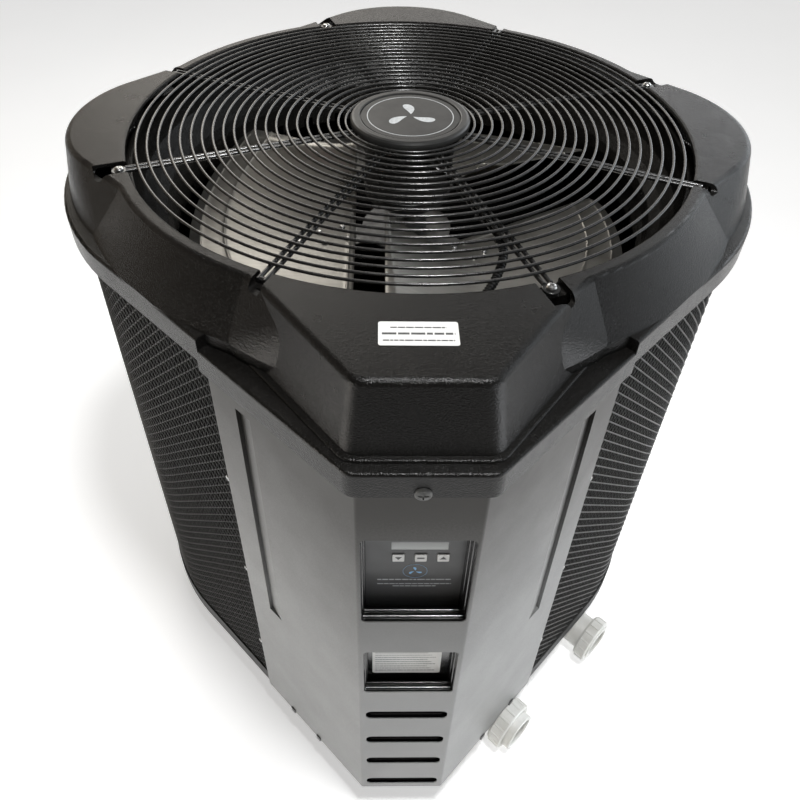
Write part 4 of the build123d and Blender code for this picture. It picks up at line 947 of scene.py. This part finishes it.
def motor_cable(material):
    """Corrugated conduit along the cable's route."""
    profile = (CABLE_VALLEY_R, CABLE_R, CABLE_R, CABLE_VALLEY_R)
    line = smooth_line(cable_points(), CABLE_PITCH / len(profile))
    conduit = Builder()
    conduit.tube(sweep_rings(line, lambda k: profile[k % len(profile)], CABLE_SIDES))
    piece = conduit.piece("motor_conduit", CABINET, "cable_conduit", material)
    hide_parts("motor_cable")


def cable_tie(index, radius, material):
    """Strap round the spoke's two rods and the cable below them, with its lock."""
    centre = spoke_place(radius, SPOKE_Z)
    across = Vector((-math.sin(CABLE_ANGLE), math.cos(CABLE_ANGLE), 0.0))
    up = Vector((0.0, 0.0, 1.0))
    along = spoke_direction(CABLE_ANGLE)
    half = along * TIE_HALF_W
    strap = Builder()
    rings = []
    for k in range(TIE_SIDES):
        t = 2 * math.pi * k / TIE_SIDES
        inner = centre + across * math.cos(t) * TIE_HALF_SPAN + up * math.sin(t) * TIE_HALF_RISE
        outer = inner + (across * math.cos(t) + up * math.sin(t)) * TIE_THICK
        rings.append([inner - half, outer - half, outer + half, inner + half])
    strap.tube(rings, closed=True)
    lock = centre - across * TIE_LOCK_OFFSET - up * TIE_LOCK_DROP
    (x0, x1), (y0, y1) = TIE_LOCK_X, TIE_LOCK_Y
    low = [lock + along * x + across * y for x, y in ((x0, y0), (x1, y0), (x1, y1), (x0, y1))]
    strap.ring_box(low, [p + up * TIE_LOCK_H for p in low])
    strap.piece(f"cable_tie_{index}", CABINET, "cable_conduit", material)


# ---- printed marks ---------------------------------------------------------------------------
def on_top(node):
    """Places marks on a node's upper face: u along X, v along Y from its front left corner."""
    low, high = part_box(node)
    return lambda u, v, w: Vector((low.x + u, low.y + v, high.z + w))


def on_front(node):
    """Places marks on a node's front face: u along X, v up from its lower left corner."""
    low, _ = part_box(node)
    return lambda u, v, w: Vector((low.x + u, low.y - w, low.z + v))


def add_mark(builder, place, outline):
    """A thin solid printed on the face; place turns u, v and height above the face into a point."""
    low = [place(u, v, 0.0) for u, v in outline]
    high = [place(u, v, MARK_H) for u, v in outline]
    builder.ring_box(low, high)


def add_dashes(builder, place, rng, u0, u1, v, height):
    """A row of short dashes that stands for a line of print."""
    u = u0
    while u < u1:
        length = min(rng.uniform(*DASH_LENGTHS) * height, u1 - u)
        add_mark(builder, place, [(u, v), (u + length, v), (u + length, v + height), (u, v + height)])
        u += length + height * DASH_GAP


def notice_print(ink):
    place = on_top("notice_label")
    rng = random.Random(NOTICE_SEED)
    marks = Builder()
    for row in NOTICE_ROWS:
        add_dashes(marks, place, rng, *row)
    marks.piece("notice_print", CABINET, "label_white", ink)


def rating_print(ink):
    place = on_front("rating_plate")
    rng = random.Random(RATING_SEED)
    marks = Builder()
    first, last = RATING_LINE_U
    for line in range(RATING_LINES):
        height = RATING_LINE_H if line else RATING_LOWEST_H
        ragged_end = last - RATING_LINE_RAGGED * (line % 3)
        add_dashes(marks, place, rng, first, ragged_end, RATING_LINE_V + RATING_LINE_STEP * line, height)
    for row in RATING_HEADINGS:
        add_dashes(marks, place, rng, *row)
    bottom, top = RATING_BAR_V
    for k in range(RATING_BARS):
        left = RATING_BAR_U + RATING_BAR_STEP * k
        right = left + RATING_BAR_W
        add_mark(marks, place, [(left, bottom), (right, bottom), (right, top), (left, top)])
    marks.piece("rating_print", CABINET, "label_white", ink)


def overlay_print(ink):
    place = on_front("control_panel")
    rng = random.Random(OVERLAY_SEED)
    marks = Builder()
    for row in OVERLAY_ROWS:
        add_dashes(marks, place, rng, *row)
    marks.piece("overlay_print", CABINET, "label_white", ink)


def key_marks(ink):
    """A down arrow, a plain bar and an up arrow on the three keys."""
    shapes = {
        "key_down": [(0.0075, 0.0045), (0.0118, 0.0105), (0.0032, 0.0105)],
        "key_mode": [(0.0030, 0.0066), (0.0120, 0.0066), (0.0120, 0.0094), (0.0030, 0.0094)],
        "key_up": [(0.0032, 0.0055), (0.0118, 0.0055), (0.0075, 0.0115)],
    }
    bodies = {node: body for body, nodes in RECORD["behaviour"]["bodies"].items() for node in nodes}
    for node, outline in shapes.items():
        mark = Builder()
        add_mark(mark, on_front(node), outline)
        mark.piece(node + "_mark", bodies[node], "key_white", ink)


def fan_emblem(name, slot, ink, place, radius):
    """Plain ring and three petals, the usual sign for a fan."""
    marks = Builder()
    width = radius * EMBLEM_RING
    rings = []
    for k in range(EMBLEM_STEPS):
        t = 2 * math.pi * k / EMBLEM_STEPS
        corners = ((radius - width, 0.0), (radius, 0.0), (radius, MARK_H), (radius - width, MARK_H))
        rings.append([place(r * math.cos(t), r * math.sin(t), w) for r, w in corners])
    marks.tube(rings, closed=True)
    for k in range(BLADES):
        turn = math.radians(90 + 360 * k / BLADES)
        petal = []
        for j in range(PETAL_STEPS):
            t = 2 * math.pi * j / PETAL_STEPS
            share = PETAL_MIDDLE + PETAL_HALF * math.cos(t)
            r = radius * share
            a = turn + PETAL_HALF_ANGLE * math.sin(t) + PETAL_TWIST * (share - PETAL_MIDDLE)
            petal.append((r * math.cos(a), r * math.sin(a)))
        add_mark(marks, place, petal)
    marks.piece(name, CABINET, slot, ink)


def badge_emblem(ink):
    low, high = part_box("cap_badge")
    centre = (low + high) / 2
    fan_emblem("badge_emblem", "badge", ink,
               lambda u, v, w: Vector((centre.x + u, centre.y + v, high.z + w)), BADGE_EMBLEM_R)


def overlay_emblem(ink):
    place = on_front("control_panel")
    fan_emblem("overlay_emblem", "label_white", ink,
               lambda u, v, w: place(u + EMBLEM_PLACE[0], v + EMBLEM_PLACE[1], w), OVERLAY_EMBLEM_R)


# ---- build everything -------------------------------------------------------------------------
make_camera()
make_light()
make_floor()
MATERIALS = all_materials()
finish_nodes(MATERIALS)
INK = label_ink()
PALE_INK = pale_ink()

fins = coil_fins(MATERIALS["fin_black"], fin_edge())
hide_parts("evaporator_fins")
coil_core(MATERIALS["fin_black"])
coil_net(MATERIALS["guard_net"])
fan_blades(MATERIALS["blade_aluminium"])
motor_cable(MATERIALS["cable_conduit"])
for number, tie_radius in enumerate(TIE_RADII):
    cable_tie(number, tie_radius, MATERIALS["cable_conduit"])
notice_print(INK)
rating_print(INK)
overlay_print(PALE_INK)
key_marks(INK)
badge_emblem(PALE_INK)
overlay_emblem(pale_blue_ink())
